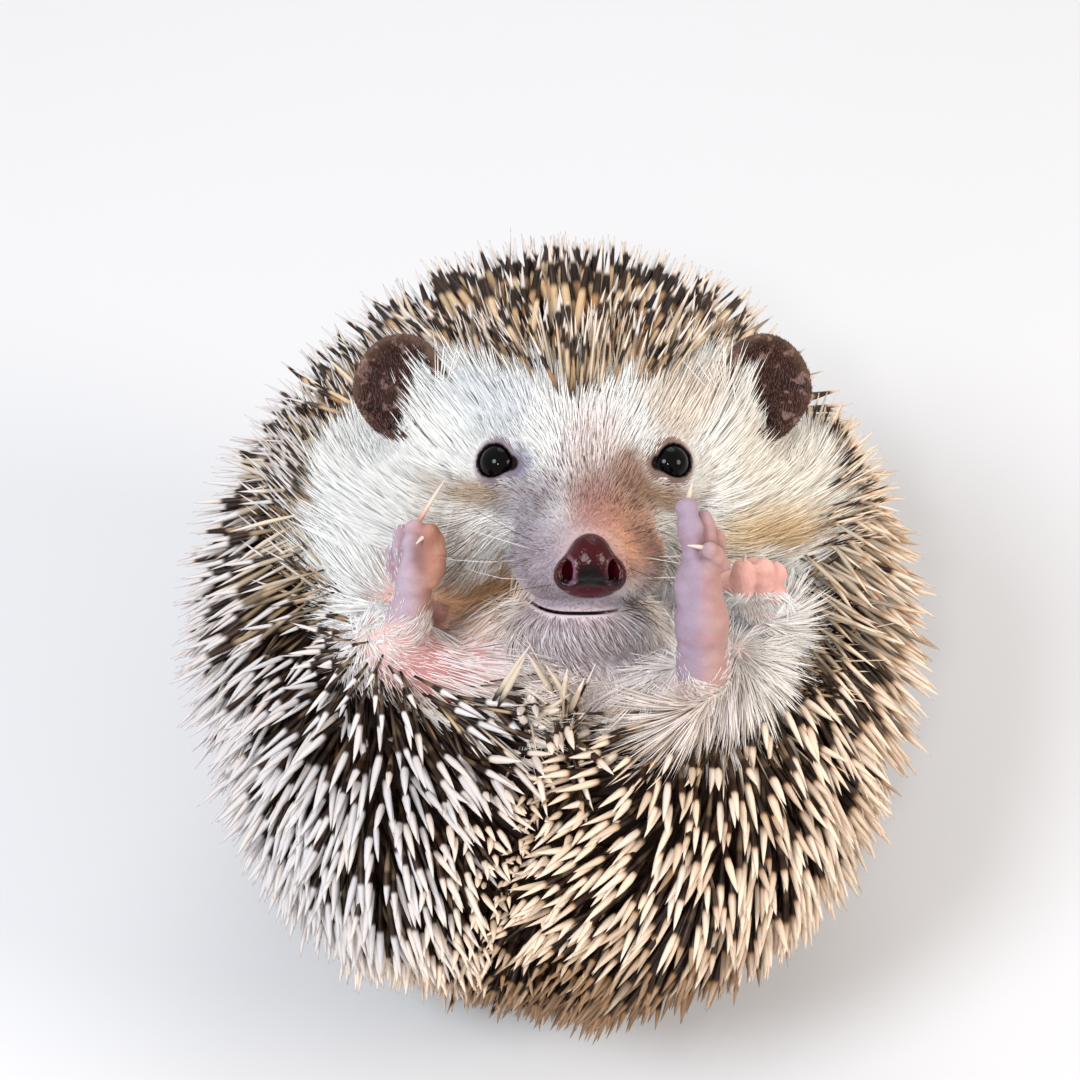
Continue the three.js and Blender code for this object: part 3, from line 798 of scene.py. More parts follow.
def scattered(density):
    """Roots over the skin, so many to the square millimetre: places, outward directions, triangles."""
    weight = np.cumsum(tri_area * density)
    n = int(weight[-1])
    pick = np.searchsorted(weight, (np.arange(n) + rng.random(n)) * (weight[-1] / n))
    pick = rng.permutation(np.minimum(pick, len(weight) - 1))
    a, b = rng.random(n), rng.random(n)
    over = a + b > 1
    a[over], b[over] = 1 - a[over], 1 - b[over]
    mix = np.stack([1 - a - b, a, b], 1)[:, :, None]
    return (tri_points[pick] * mix).sum(1), unit((skin_normals[tri[pick]] * mix).sum(1)), pick


def thinned(points, gap):
    """Keeps the places that stand at least `gap` from every place kept before them."""
    cells, kept = {}, []
    near = [(i, j, k) for i in (-1, 0, 1) for j in (-1, 0, 1) for k in (-1, 0, 1)]
    for n, (q, (x, y, z)) in enumerate(zip(points.tolist(), np.floor(points / gap).astype(int).tolist())):
        around = (m for i, j, k in near for m in cells.get((x + i, y + j, z + k), ()))
        if all((q[0] - a) ** 2 + (q[1] - b) ** 2 + (q[2] - c) ** 2 > gap * gap for a, b, c in around):
            cells.setdefault((x, y, z), []).append(q)
            kept.append(n)
    return np.array(kept)


def across(v, normals):
    """The part of a direction that lies along the skin."""
    return unit(v - (v * normals).sum(1, keepdims=True) * normals)


def leaning(normals, lay, lean):
    return unit(normals * np.cos(lean)[:, None] + lay * np.sin(lean)[:, None])


def above_floor(roots, directions, lengths, clear=0.5):
    """Turns what would pass through the floor until its tip lies just above it."""
    rise = directions @ LEAN[2]
    needed = np.clip((clear - height(roots)) / lengths, -0.98, 0.98)
    level = unit(directions - rise[:, None] * LEAN[2])
    pressed = level * np.sqrt(1 - needed**2)[:, None] + needed[:, None] * LEAN[2]
    return np.where((rise < needed)[:, None], pressed, directions)


def unwrapped(points):
    """Each place's own spot on an equal-area unwrap of the ball, with the seam down the back."""
    d = unit(points - np.array([0, -1, -2]))
    return np.stack([np.arctan2(d[:, 0], d[:, 2]) / (2 * np.pi) + 0.5, (d[:, 1] + 1) / 2], 1)


PATCH = 0.003  # how wide each hair's or spine's own patch is on the unwrap


def strands(name, roots, directions, lengths, widths, sag, sides, profile, values, is_coat=True):
    """Tapered rods joined into one mesh. Their profile gives a ring of corners for each of its pairs."""
    n, rings = len(roots), len(profile)
    share = np.array([r[0] for r in profile])
    thick = np.array([r[1] for r in profile])
    ends = directions * lengths[:, None]
    middle = roots[:, None] + ends[:, None] * share[None, :, None]
    middle = middle + sag[:, None] * (share**2)[None, :, None]
    tangent = unit(ends[:, None] + 2 * sag[:, None] * share[None, :, None])
    side = unit(np.cross(directions, unit(rng.normal(size=(n, 3)))))
    side = unit(side[:, None] - (side[:, None] * tangent).sum(2, keepdims=True) * tangent)
    other = np.cross(tangent, side)
    turn = np.arange(sides) * 2 * np.pi / sides
    round_x, round_y = np.cos(turn)[None, None, :, None], np.sin(turn)[None, None, :, None]
    ring = side[:, :, None] * round_x + other[:, :, None] * round_y
    corners = middle[:, :, None] + ring * (widths[:, None] * thick[None, :])[:, :, None, None]
    corners = np.concatenate([corners.reshape(n, rings * sides, 3), (roots + ends + sag)[:, None]], 1)
    each = rings * sides + 1
    k = np.arange(sides)
    after = (k + 1) % sides
    top = (rings - 1) * sides
    rows = np.arange(0, top, sides)
    loops = [np.stack([r + k, r + after, r + sides + after, r + sides + k], 1) for r in rows]
    tip = np.stack([top + k, top + after, np.full(sides, each - 1)], 1)
    start = (np.arange(n) * each)[:, None, None]
    faces = (np.concatenate(loops), tip, k[::-1][None])
    faces = [(f[None] + start).reshape(-1, f.shape[1]) for f in faces]
    along = np.tile(np.append(np.repeat(share, sides), 1.0), n)
    attributes = {"along": along}
    for key, value in values.items():
        attributes[key] = np.repeat(value, each, axis=0)
    spot = np.stack([np.tile(np.append(np.tile(k / sides, rings), 0.5), n) - 0.5, along - 0.5], 1)
    uv = np.clip(np.repeat(unwrapped(roots), each, axis=0) + spot * PATCH, 0, 1) if is_coat else None
    flat = corners.reshape(-1, 3)
    sunk = np.maximum(0.15 - height(flat), 0)
    return mesh_piece(name, flat + sunk[:, None] * LEAN[2], faces, attributes, uv)


# ------------------------------------------------------------ spines

FACE_MIDDLE = np.array([2, 14, 20])
SPINE_DENSITY, SPINE_GAP = 2.4, 1.17  # places tried to the square millimetre, and what is kept apart
SPINE_LENGTHS, SPINE_WIDTHS, SPINE_LEAN = (13.2, 16.0), (0.43, 0.58), 61
FINE_DENSITY, FINE_LENGTHS, FINE_WIDTHS, FINE_LEANS = 0.95, (8.5, 12.5), (0.12, 0.24), (58, 70)
# Outlines of a spine or a hair: share of its length, share of its width.
SPINE_SHAPE = ((0, 0.42), (0.25, 0.56), (0.45, 0.8), (0.62, 1.0), (0.8, 0.7), (0.92, 0.32))
CROWN_SHAPE = ((0, 0.6), (0.3, 0.95), (0.5, 1.0), (0.66, 0.8), (0.8, 0.5), (0.93, 0.24))
CROSSING_SHAPE = ((0, 0.5), (0.2, 0.85), (0.42, 1.0), (0.62, 0.84), (0.8, 0.54), (0.93, 0.24))
FINE_SHAPE = ((0, 0.5), (0.35, 1.0), (0.7, 0.9), (0.9, 0.4))
SHORT_HAIR = ((0, 0.9), (0.5, 0.9))
LONG_HAIR = ((0, 0.9), (0.4, 1.0), (0.78, 0.65))

# Below the face the spines lean so many degrees to the right of straight down. On the animal's right
# that turns with the way round its hip, and on its left with the place across.
RIGHT_LAY = ((-110, -34), (-66, -22), (-26, -8), (0, 14), (30, 48), (61, 74), (90, 88))
LEFT_LAY = ((2, -70), (7, -66), (11, -52), (16.5, -28), (22.5, -10), (28.5, -4), (35, 0), (44, 6))

# A few stout spines that cross where the two sides of the coat meet, over the chest: base, tip.
CROSSING = np.array(
    [
        [(-7.6, -6.6, 31.5), (-3.0, 0.6, 37.5)],
        [(-7.0, -7.2, 31.5), (-3.6, -0.8, 37.0)],
        [(0.2, -6.4, 32.0), (-3.6, -0.4, 36.5)],
        [(2.4, -7.6, 31.5), (-1.4, -1.8, 36.5)],
        [(0.4, -7.8, 31.5), (1.2, -2.2, 36.5)],
        [(1.2, -8.4, 31.5), (3.2, -3.4, 36.0)],
        [(-3.6, -9.4, 31.5), (1.6, -5.2, 36.0)],
    ]
)
CROSSING_WIDTH = 0.4


def hanging(value, table):
    """The direction that a table of (value, degrees to the right of straight down) gives."""
    degrees = np.radians(np.interp(value, *np.transpose(table)))
    return np.stack([np.sin(degrees), -np.cos(degrees), 0 * degrees], 1)


def spine_lay(p, normals):
    """Which way the spines lean: away from the face above, as the tables say below, down behind."""
    out = (p - FACE_MIDDLE) * np.array([1, 1, 0])
    droop = blend(16, 32, np.abs(p[:, 0])) * np.interp(p[:, 1], [0, 12, 22, 32], [1.4, 1.1, 0.5, 0])
    above = unit(out) + np.array([0, 0, -1.0]) - droop[:, None] * np.array([0, 1, 0])
    round_hip = np.degrees(np.arctan2(p[:, 0] - HIPS[-1][0], HIPS[-1][1] - 1.5 - p[:, 1]))
    over_seam = blend(-1.5, 1.5, p[:, 0] - seam_x(p[:, 1]))
    below = mixed(hanging(round_hip, RIGHT_LAY), hanging(p[:, 0], LEFT_LAY), over_seam)
    lay = mixed(above, below, blend(6, -10, p[:, 1]))
    lay = mixed(lay, np.array([0, -1, -0.15]), blend(-8, -24, p[:, 2]))
    ruffled = (0.3 + 0.3 * blend(16, 26, p[:, 1]))[:, None]
    return across(lay + wander(p, 7) * 0.5 + wander(p, 2.5, 5.0) * ruffled, normals)


def spine_places():
    """Where the spines of the coat grow: places, outward directions."""
    density = np.where((tri_part <= HEAD) & (tri_reach < 2.0), SPINE_DENSITY, 0.0)
    for side in (-1, 1):
        density = np.where(ear_field(tri_middle.T, side) < 1.0, 0.0, density)
    roots, normals, _ = scattered(density)
    keep = thinned(roots, SPINE_GAP)
    keep = keep[(roots[keep, 1] < 16) | (roots[keep, 2] < -14) | (rng.random(len(keep)) < 0.8)]
    return roots[keep], normals[keep]


def held_at_seam(directions, lengths, off_seam, rump):
    """Near the seam no spine reaches far over to the other side."""
    reached = -np.sign(off_seam) * directions[:, 0] * lengths
    over = np.abs(off_seam) + 0.8
    far = (reached > over) & (rump > 0.2)
    lengths = np.where(far, np.maximum(lengths * over / reached, 0.55 * lengths), lengths)
    held = np.where(far, -np.sign(off_seam) * np.minimum(over / lengths, 0.9), directions[:, 0])
    rest = np.sqrt((1 - held**2) / np.maximum(1 - directions[:, 0] ** 2, 1e-6))
    return np.column_stack([held, directions[:, 1:] * rest[:, None]]), lengths


def trimmed(roots, directions, lengths):
    """Spines end near the ball, and those that would stand up over the chest are kept short."""
    tips = roots + directions * lengths[:, None]
    outside = ellipsoid(tips.T, COAT) - np.interp(tips[:, 2], [0, 14], [1.4, 3.8])
    x, y, z = roots.T
    upright = (directions[:, 1] > 0.05) & (z > 18) & (np.abs(x + 1) < 10) & (y < 2)
    return np.where(upright, 0.45 * lengths, lengths - np.clip(outside, 0, 5))


def grow_spines():
    """The coat of stout spines, in five pieces."""
    roots, normals = spine_places()
    (x, y, z), n = roots.T, len(roots)
    reach = fur_reach(roots)
    # Shares of each region: beside the fur, the front, its lower half, the seam, the right hip.
    border, front = blend(-4, 2, reach), blend(-16, 0, z)
    rump, low = blend(4, -10, y) * front, blend(6, -3, y) * front
    off_seam = x - seam_x(y)
    seam = np.exp(-((off_seam / 7.5) ** 2)) * rump * blend(-9, -16, y)
    seam = np.maximum(seam, 0.8 * blend(-27, -38, y) * blend(24, 10, np.abs(off_seam)) * front)
    crest = blend(11, 3, np.linalg.norm((roots - HIPS[-1])[:, :2], axis=1)) * front
    lean = np.radians(SPINE_LEAN - 9 * (1 - np.abs(normals[:, 2])) + 4 * rump - 36 * seam - 26 * crest)
    directions = leaning(normals, spine_lay(roots, normals), lean + rng.normal(0, 0.1, n))
    directions = unit(directions + rng.normal(0, 0.14, (n, 3)) * (1 + 0.5 * seam + 0.8 * crest)[:, None])
    lengths = rng.uniform(*SPINE_LENGTHS, n) * (1 - 0.1 * rump) * (1 - (0.2 + 0.25 * rump) * border)
    lengths = lengths * (1 - 0.5 * seam) * (1 - 0.5 * crest)
    directions, lengths = held_at_seam(directions, lengths, off_seam, rump)
    directions = above_floor(roots, directions, lengths)
    lengths = trimmed(roots, directions, lengths)
    flank = blend(24, 34, np.abs(x)) * blend(-14, -2, y) * blend(32, 22, y)
    widths = rng.uniform(*SPINE_WIDTHS, n) * (1 - 0.4 * border * (1 - low)) * (1 + 0.08 * blend(8, 20, y))
    widths = widths * (1 - 0.14 * flank) * (1 - 0.35 * crest) * (1 - 0.25 * seam)
    sag = rng.normal(0, 0.4, (n, 3)) - normals * 0.3
    # Low on the front and along the seam the spines get a painted shade, added to their warmth: past 1 it
    # shortens the pale tips and darkens them.
    low_and_seam_shade = np.maximum(blend(-26, -44, y), 0.6 * seam)
    fair = blend(28, 38, x) * blend(-22, -6, y) * blend(26, 10, y)
    own = rng.random(n)
    pale = blend(-5, 2, reach) * 0.6 * (1 - low) + 0.5 * fair + 0.3 * flank + rng.normal(0, 0.14, n)
    warm = blend(-22, 30, x - 0.4 * y) + 1.0 * low_and_seam_shade + rng.normal(0, 0.14, n)
    # deep: painted shade among the roots, strongest low on the front, darkening the lower part of a spine
    # to its band's colour; it also lowers the band.
    deep = 0.12 + 0.88 * low - 0.15 * low_and_seam_shade + 0.4 * flank * (1 - low) + rng.normal(0, 0.1, n)
    facts = {"own": own, "pale": np.clip(pale, 0, 1)}
    facts |= {"warm": np.clip(warm, 0, 1.8), "deep": np.clip(deep, 0, 1)}
    pieces = []
    group = np.select([z < -14, y > 20, y < -2, x > 0], [4, 0, 3, 1], 2)
    for g, word in enumerate(("crown", "left", "right", "rump", "back")):
        m = group == g
        values = {key: value[m] for key, value in facts.items()}
        outline = CROWN_SHAPE if g == 0 else SPINE_SHAPE
        shape = (roots[m], directions[m], lengths[m], widths[m], sag[m], 5, outline)
        pieces.append((strands("spines_" + word, *shape, values), "spines"))
    return pieces


# ------------------------------------------------------------ fur

NOSE_TIP = np.array(NOSE[0])
CHEST_MIDDLE, CHEST_REACH = np.array([4.0, -0.5]), np.array([10.5, 5.0])
FUR_PIECES = "short", "ruff", *(a + b for a in ("belly", "brow", "cheek") for b in ("_left", "_right"))
LONG_FROM = 2.25  # hairs that are longer than this taper
LEADER_GAP = 1.05  # between the hairs that draw their neighbours to them
DRAWN = 0.36  # how far they do
WHISKERS, WHISKER_LENGTHS, WHISKER_WIDTHS = 20, (6, 11), (0.03, 0.045)


def over_chest(p):
    return np.exp(-(((p[:, :2] - CHEST_MIDDLE) / CHEST_REACH) ** 2).sum(1))


def fur_lay(p, part):
    """Which way the hair lies: back from the nose on the head, outwards from the hips below it."""
    cheek = blend(9, 19, np.abs(p[:, 0] - FACE_X)) * blend(36, 24, p[:, 1])
    head = unit(p - np.array([3.6, 11, 46])) + (0.75 * cheek)[:, None] * np.array([0, 1, 0])
    fans = []
    for side, curl in ((-1, 0.025), (1, 0.05)):  # the fans curl up towards the chest
        away = p - HIPS[side]
        inner = np.maximum(-side * away[:, 0], 0) * curl
        fans.append(unit(away) + inner[:, None] * np.array([0, 1, 0]))
    trunk = mixed(mixed(*fans, blend(-3, 1, p[:, 0])), np.array([0.45, -0.9, 0.0]), over_chest(p))
    trunk = mixed(trunk, head, blend(7, 13, p[:, 1]))
    head = mixed(head, np.array([0.5, -0.8, -0.3]), blend(6, 2, p[:, 1]) * (part == HEAD))
    lay = either(part == EAR, np.array([0, 1, 0.2]), either(part == HEAD, head, trunk))
    for side in (-1, 1):  # the hair parts round the paws
        paw = np.array(fore(FORE_PAW[-1][:3], side))
        near = blend(9, 4, distance(p, paw)) * (part == TRUNK)
        lay = mixed(lay, unit((p - paw) * np.array([1, 1, 0.2])), near)
    whorl = (np.exp(-((from_hips(p) / 3.5) ** 2)) * (part == TRUNK))[:, None]
    lay = lay + wander(p, 1.1, 21.0) * whorl * 3.5
    return either(part >= FOOT, np.array([0.1, 1.0, 0.3]), lay)


def limb_field(p, side):
    """The lower legs and paws, which only short hair covers."""
    return np.minimum(chain(p, HIND_FOOT[side]), chain(p, [fore(s, side) for s in FORE_PAW]))


def face_facts(p, part):
    """Density, length and lean of the hair by the distance from the nose, the eyes and the ears."""
    nose = distance(p, NOSE_TIP)
    length = np.interp(nose, [4, 7, 12, 18, 24, 32, 42], [0.5, 0.9, 1.5, 2.6, 4.4, 6.6, 8.0])
    density = np.interp(nose, [3.3, 4.6, 14, 24, 34, 45], [0, 10, 16, 17.5, 14.5, 12.5])
    lean = np.interp(nose, [5, 20, 40], [60, 68, 70])
    for side in (-1, 1):
        corner = EYES[side] + EYE_TURN[side] @ np.array([-side * 2.9, -0.9, 1.6])
        eye = np.minimum(distance(p, EYES[side]), distance(p, corner) + 1.6)
        length = length * np.interp(eye, [2.8, 4.0, 6.5], [0.15, 0.45, 1.0])
        density = density * np.interp(eye, [2.95, 3.3], [0, 1])
        foot = np.array(EAR_AT[side]) + (side * 0.5, -8.0, 2)
        brow = np.array(EAR_AT[side]) + (-side * 7.0, -1.5, 4)
        length = length * np.interp(distance(p, foot), [2.5, 6.5], [0.3, 1])
        over = np.exp(-((distance(p, brow) / 5.0) ** 2))
        length, lean = length * (1 + 0.35 * over), lean - 18 * over
    chin = (p[:, 1] < 5.5) & (part == HEAD)
    length = np.where(chin, np.interp(p[:, 2], [24, 38], [5.5, 2.0]), length)
    above, past = mouth(p.T)
    lip = (part == HEAD) & (past < 0) & (above > -0.4)
    length = np.where(lip, np.minimum(length, np.where(above < 2.2, 0.4, 0.6 * above)), length)
    return np.where(lip & (above < 0.4), 0, density), length, lean


def fur_facts(p, part, reach):
    """At each place: hairs to the square millimetre, their length, and their lean from upright."""
    density, length, lean = face_facts(p, part)
    trunk, hips = part == TRUNK, from_hips(p)
    length = np.where(trunk, np.interp(hips, [2, 8, 24], [6.5, 10, 8.5]), length)
    low = trunk & (p[:, 1] < 6)
    length = np.where(low, length * (0.45 + 0.55 * blend(-1, 6, reach)), length)
    density = np.where(trunk, np.interp(hips, [3, 12], [13, 9]), density)
    lean = np.where(trunk, np.interp(hips, [2, 10], [74, 80]), lean)
    # The bare fold inside the right hip, and the thin patch above it.
    fold = np.exp(-((((p[:, :2] - HIPS[-1][:2] - (9, -4)) / (9, 4)) ** 2).sum(1) ** 2)) * trunk
    density = density * (1 - 0.72 * fold)
    from_hip = p[:, :2] - HIPS[-1][:2]
    clock = np.arctan2(from_hip[:, 1], from_hip[:, 0])
    sparse = np.exp(-(((clock - 0.6) / 0.4) ** 2)) * trunk * blend(-5, -8, p[:, 0])
    density = density * (1 - 0.75 * sparse)
    limb = np.min([limb_field(p.T, s) for s in (-1, 1)], axis=0)
    on_limb = blend(3.5, 0.6, limb) * trunk
    length, lean = length * (1 - on_limb) + 2.0 * on_limb, lean * (1 - on_limb) + 82 * on_limb
    chest = over_chest(p) * trunk
    length, density = length * (1 - 0.65 * chest), density + 6 * chest
    density = np.select([part == EAR, part == FOOT, part == PAW], [8, 1.6, 0.8], density)
    length = np.select([part == EAR, part == FOOT, part == PAW], [0.5, 0.9, 0.6], length)
    top = (part == FOOT) & (p[:, 2] > np.where(p[:, 0] > 0, 39, 33.5)) | (part == PAW) & (p[:, 2] > 30)
    return np.where(top, 0, density), length, np.radians(lean)


def drawn_together(roots, directions, lengths):
    """Directions of hairs whose tips draw to the tip of a neighbour."""
    some = np.arange(len(roots) // 2)
    lead = some[thinned(roots[some], LEADER_GAP)]
    tree = kdtree.KDTree(len(lead))
    for i, q in enumerate(roots[lead]):
        tree.insert(q, i)
    tree.balance()
    mate = lead[[tree.find(q)[1] for q in roots]]
    tips = roots + directions * lengths[:, None]
    apart = roots[mate] + directions[mate] * lengths[:, None] - tips
    return unit(tips + apart * (DRAWN * blend(1.5, 5, lengths))[:, None] - roots)


def hair_colour(roots, part, lengths):
    """The coat's colour, with dark hairs and mottle round the muzzle and pale hairs on the chin."""
    n = len(roots)
    colour = coat_colour(roots, part) * rng.uniform(0.93, 1.0, (n, 1))
    muzzle = (part == HEAD) * blend(24, 12, distance(roots, NOSE_TIP))
    mottle = (np.clip(wander(roots, 2.4, 9.0)[:, 0], 0, 1) * muzzle)[:, None]
    colour = colour * (1 - mottle * np.array([0.4, 0.5, 0.55]))
    dark = rng.random(n) < 0.14 * muzzle * (lengths > 1.2)
    colour = either(dark, colour * tone("8c6c5e"), colour)
    chin = rng.random(n) < 0.4 * blend(4.5, 2.5, roots[:, 1]) * (roots[:, 2] > 22)
    return either(chin, colour * 0.4 + tone("f4eef2") * 0.6, colour)


def grow_fur():
    """The hair of the face, limbs and belly, in eight pieces."""
    density, _, _ = fur_facts(tri_middle, tri_part, tri_reach)
    density *= np.where(tri_part == EAR, 1, blend(-4, -0.5, tri_reach))
    density *= (1 - skin_nose[tri[:, 0]]) * (1 - skin_rim[tri[:, 0]])
    roots, normals, pick = scattered(density * SHARE)
    part, n = tri_part[pick], len(roots)
    _, lengths, lean = fur_facts(roots, part, fur_reach(roots))
    lengths = lengths * rng.uniform(0.65, 1.15, n) * np.where(rng.random(n) < 0.06, 1.3, 1)
    lay = fur_lay(roots, part) + wander(roots, 5.0, 7.0) * 0.35 + wander(roots, 1.4, 3.0) * 0.22
    directions = leaning(normals, across(lay, normals), lean + rng.normal(0, 0.08, n))
    directions = unit(directions + rng.normal(0, 0.07, (n, 3)))
    sag = -normals * (lengths * 0.10)[:, None]
    directions = drawn_together(roots, directions, lengths)
    widths = np.clip(0.04 + lengths * 0.0055, 0.035, 0.09) * rng.uniform(0.8, 1.25, n)
    widths = widths * (1.35 if SHARE < 1 else 1)
    colour = hair_colour(roots, part, lengths)
    x, y, z = roots.T
    group = np.select(
        [lengths <= LONG_FROM, part == TRUNK, part > HEAD, y > 23, x > FACE_X],
        [0, np.select([y > 9, x > 2], [1, 2], 3), 0, np.where(x > FACE_X, 4, 5), 6],
        7,
    )
    pieces = []
    for g, word in enumerate(FUR_PIECES):
        m = group == g
        values = {"tint": colour[m], "own": rng.random(int(m.sum()))}
        shape = (roots[m], directions[m], lengths[m], widths[m], sag[m], 3, LONG_HAIR if g else SHORT_HAIR)
        slot = "belly_fur" if word.startswith("belly") else "face_fur"
        pieces.append((strands("fur_" + word, *shape, values), slot))
    return pieces


def grow_fine_spines():
    """Thin banded spines where the fur gives way, over the ears' roots and the brow."""
    near_edge = (tri_part <= HEAD) & (tri_reach > -2.5) & (tri_reach < 3.2) & (tri_middle[:, 2] > 2)
    density = np.where(near_edge, FINE_DENSITY, 0) * np.where(tri_middle[:, 1] > 12, 1.2, 0.2)
    roots, normals, _ = scattered(density * (from_hips(tri_middle) > 8))
    n = len(roots)
    lay = fur_lay(roots, np.where(roots[:, 1] > 6, HEAD, TRUNK)) + wander(roots, 6, 1.0) * 0.4
    lengths = rng.uniform(*FINE_LENGTHS, n)
    directions = leaning(normals, across(lay, normals), np.radians(rng.uniform(*FINE_LEANS, n)))
    directions = unit(directions + rng.normal(0, 0.07, (n, 3)))
    directions = above_floor(roots, directions, lengths)
    values = {"own": rng.random(n), "pale": rng.uniform(0.0, 1.0, n) ** 1.5}
    values |= {"warm": blend(-25, 30, roots[:, 0]), "deep": np.full(n, 0.3)}
    widths, sag = rng.uniform(*FINE_WIDTHS, n), rng.normal(0, 0.3, (n, 3))
    return strands("spines_fine", roots, directions, lengths, widths, sag, 4, FINE_SHAPE, values)


def grow_crossing_spines():
    run = CROSSING[:, 1] - CROSSING[:, 0]
    lengths, n = np.linalg.norm(run, axis=1), len(run)
    values = {"own": rng.random(n), "pale": np.full(n, 1.0), "warm": np.linspace(0, 0.8, n)}
    values["deep"] = np.full(n, 0.2)
    shape = (CROSSING[:, 0], unit(run), lengths, np.full(n, CROSSING_WIDTH), np.zeros((n, 3)), 6)
    return strands("spines_crossing", *shape, CROSSING_SHAPE, values)


def grow_whiskers():
    """Whiskers, from both sides of the muzzle."""
    near = np.linalg.norm((tri_middle - np.array([3.5, 10.5, 38])) * (0.45, 1, 1), axis=1)
    beside = np.abs(tri_middle[:, 0] - 3.5) > 3.5
    density = np.where((tri_part == HEAD) & beside & (near < 5), 1.0, 0.0)
    roots, normals = (v[:WHISKERS] for v in scattered(density)[:2])
    n = len(roots)
    away = [np.sign(roots[:, 0] - 3.5) * 1.0, rng.uniform(-0.5, 0.5, n), rng.uniform(-0.5, 0.1, n)]
    directions = unit(unit(np.stack(away, 1)) * 1.0 + normals * 0.6)
    lengths = rng.uniform(*WHISKER_LENGTHS, n)
    tint = np.where(rng.random((n, 1)) < 0.5, tone("5a4238"), tone("efe8e2"))
    values = {"tint": tint, "own": rng.random(n)}
    sag = rng.normal(0, 0.8, (n, 3)) - np.array([0, 0, 1.0])
    shape = (roots, directions, lengths, rng.uniform(*WHISKER_WIDTHS, n), sag, 4, LONG_HAIR)
    return strands("whiskers", *shape, values)


coat_pieces = grow_spines() + grow_fur()  # each with its slot
coat_pieces += [(grow_fine_spines(), "spines"), (grow_crossing_spines(), "spines")]
coat_pieces.append((grow_whiskers(), "face_fur"))

# ------------------------------------------------------------ eyes and claws


def globe(centre, radius, around=40, along=28):
    """A closed ball from arrays: corners, and its faces by number of sides."""
    polar = np.arange(1, along) * np.pi / along
    turn = np.arange(around) * 2 * np.pi / around
    ring = [np.outer(np.sin(polar), np.cos(turn)), np.outer(np.sin(polar), np.sin(turn))]
    rings = np.stack([*ring, np.outer(np.cos(polar), np.ones(around))], -1).reshape(-1, 3)
    corners = np.concatenate([rings, [[0, 0, 1], [0, 0, -1]]]) * radius + centre
    k = np.arange(around)
    after = (k + 1) % around
    last = (along - 2) * around
    rows = np.arange(0, last, around)
    quads = [np.stack([r + k, r + around + k, r + around + after, r + after], 1) for r in rows]
    top = np.stack([np.full(around, len(rings)), k, after], 1)
    bottom = np.stack([np.full(around, len(rings) + 1), last + after, last + k], 1)
    return corners, [np.concatenate(quads), np.concatenate([top, bottom])]


eyes = {}
for word, side in (("left", 1), ("right", -1)):
    corners, faces = globe(EYES[side], EYE_RADIUS - 0.03)
    eyes[word] = mesh_piece("eyeball_" + word, corners, faces)

claws = {}
CLAW_THICK = 0.3
for word, side in (("left", 1), ("right", -1)):
    fore_toes = [[fore(v, side) for v in toe] for toe in FORE_TOES]
    for pair, toes in (("hind", HIND_TOES[side]), ("fore", fore_toes)):
        ends = np.array([toe[1:] for toe in toes], float)
        chord = ends[:, 1] - ends[:, 0]
        bend = np.linalg.norm(chord, axis=1)[:, None] * np.array([0, -0.06, 0.2])
        run = chord - bend
        lengths = np.linalg.norm(run, axis=1)
        shape = (ends[:, 0], unit(run), lengths, np.full(len(ends), CLAW_THICK), bend, 10)
        profile = ((0, 1.0), (0.25, 1.0), (0.5, 0.86), (0.7, 0.66), (0.86, 0.42), (0.95, 0.24))
        made = strands("claws_" + pair + "_" + word, *shape, profile, {}, is_coat=False)
        claws[made.name] = (made, ["claw_%s_%s_%d" % (pair, word, i + 1) for i in range(len(toes))])

# ------------------------------------------------------------ finishes


class Value:
    """A node's output in a material, with the usual operators."""

    def __init__(self, paint, socket):
        self.paint, self.socket = paint, socket

    def _math(self, kind, other, swapped=False):
        a, b = (other, self) if swapped else (self, other)
        types = {getattr(getattr(v, "socket", None), "type", "VALUE") for v in (a, b)}
        maths = "ShaderNodeVectorMath" if types & {"RGBA", "VECTOR"} else "ShaderNodeMath"
        return self.paint.node(maths, {"operation": kind}, [a, b])

    def __add__(self, other):
        return self._math("ADD", other)

    __radd__ = __add__

    def __sub__(self, other):
        return self._math("SUBTRACT", other)

    def __rsub__(self, other):
        return self._math("SUBTRACT", other, True)

    def __mul__(self, other):
        return self._math("MULTIPLY", other)

    __rmul__ = __mul__

    def step(self, low, high):
        """0 below low, 1 above high, smooth between."""
        sockets = {"Value": self, "From Min": low, "From Max": high}
        return self.paint.node("ShaderNodeMapRange", {"interpolation_type": "SMOOTHSTEP"}, sockets)


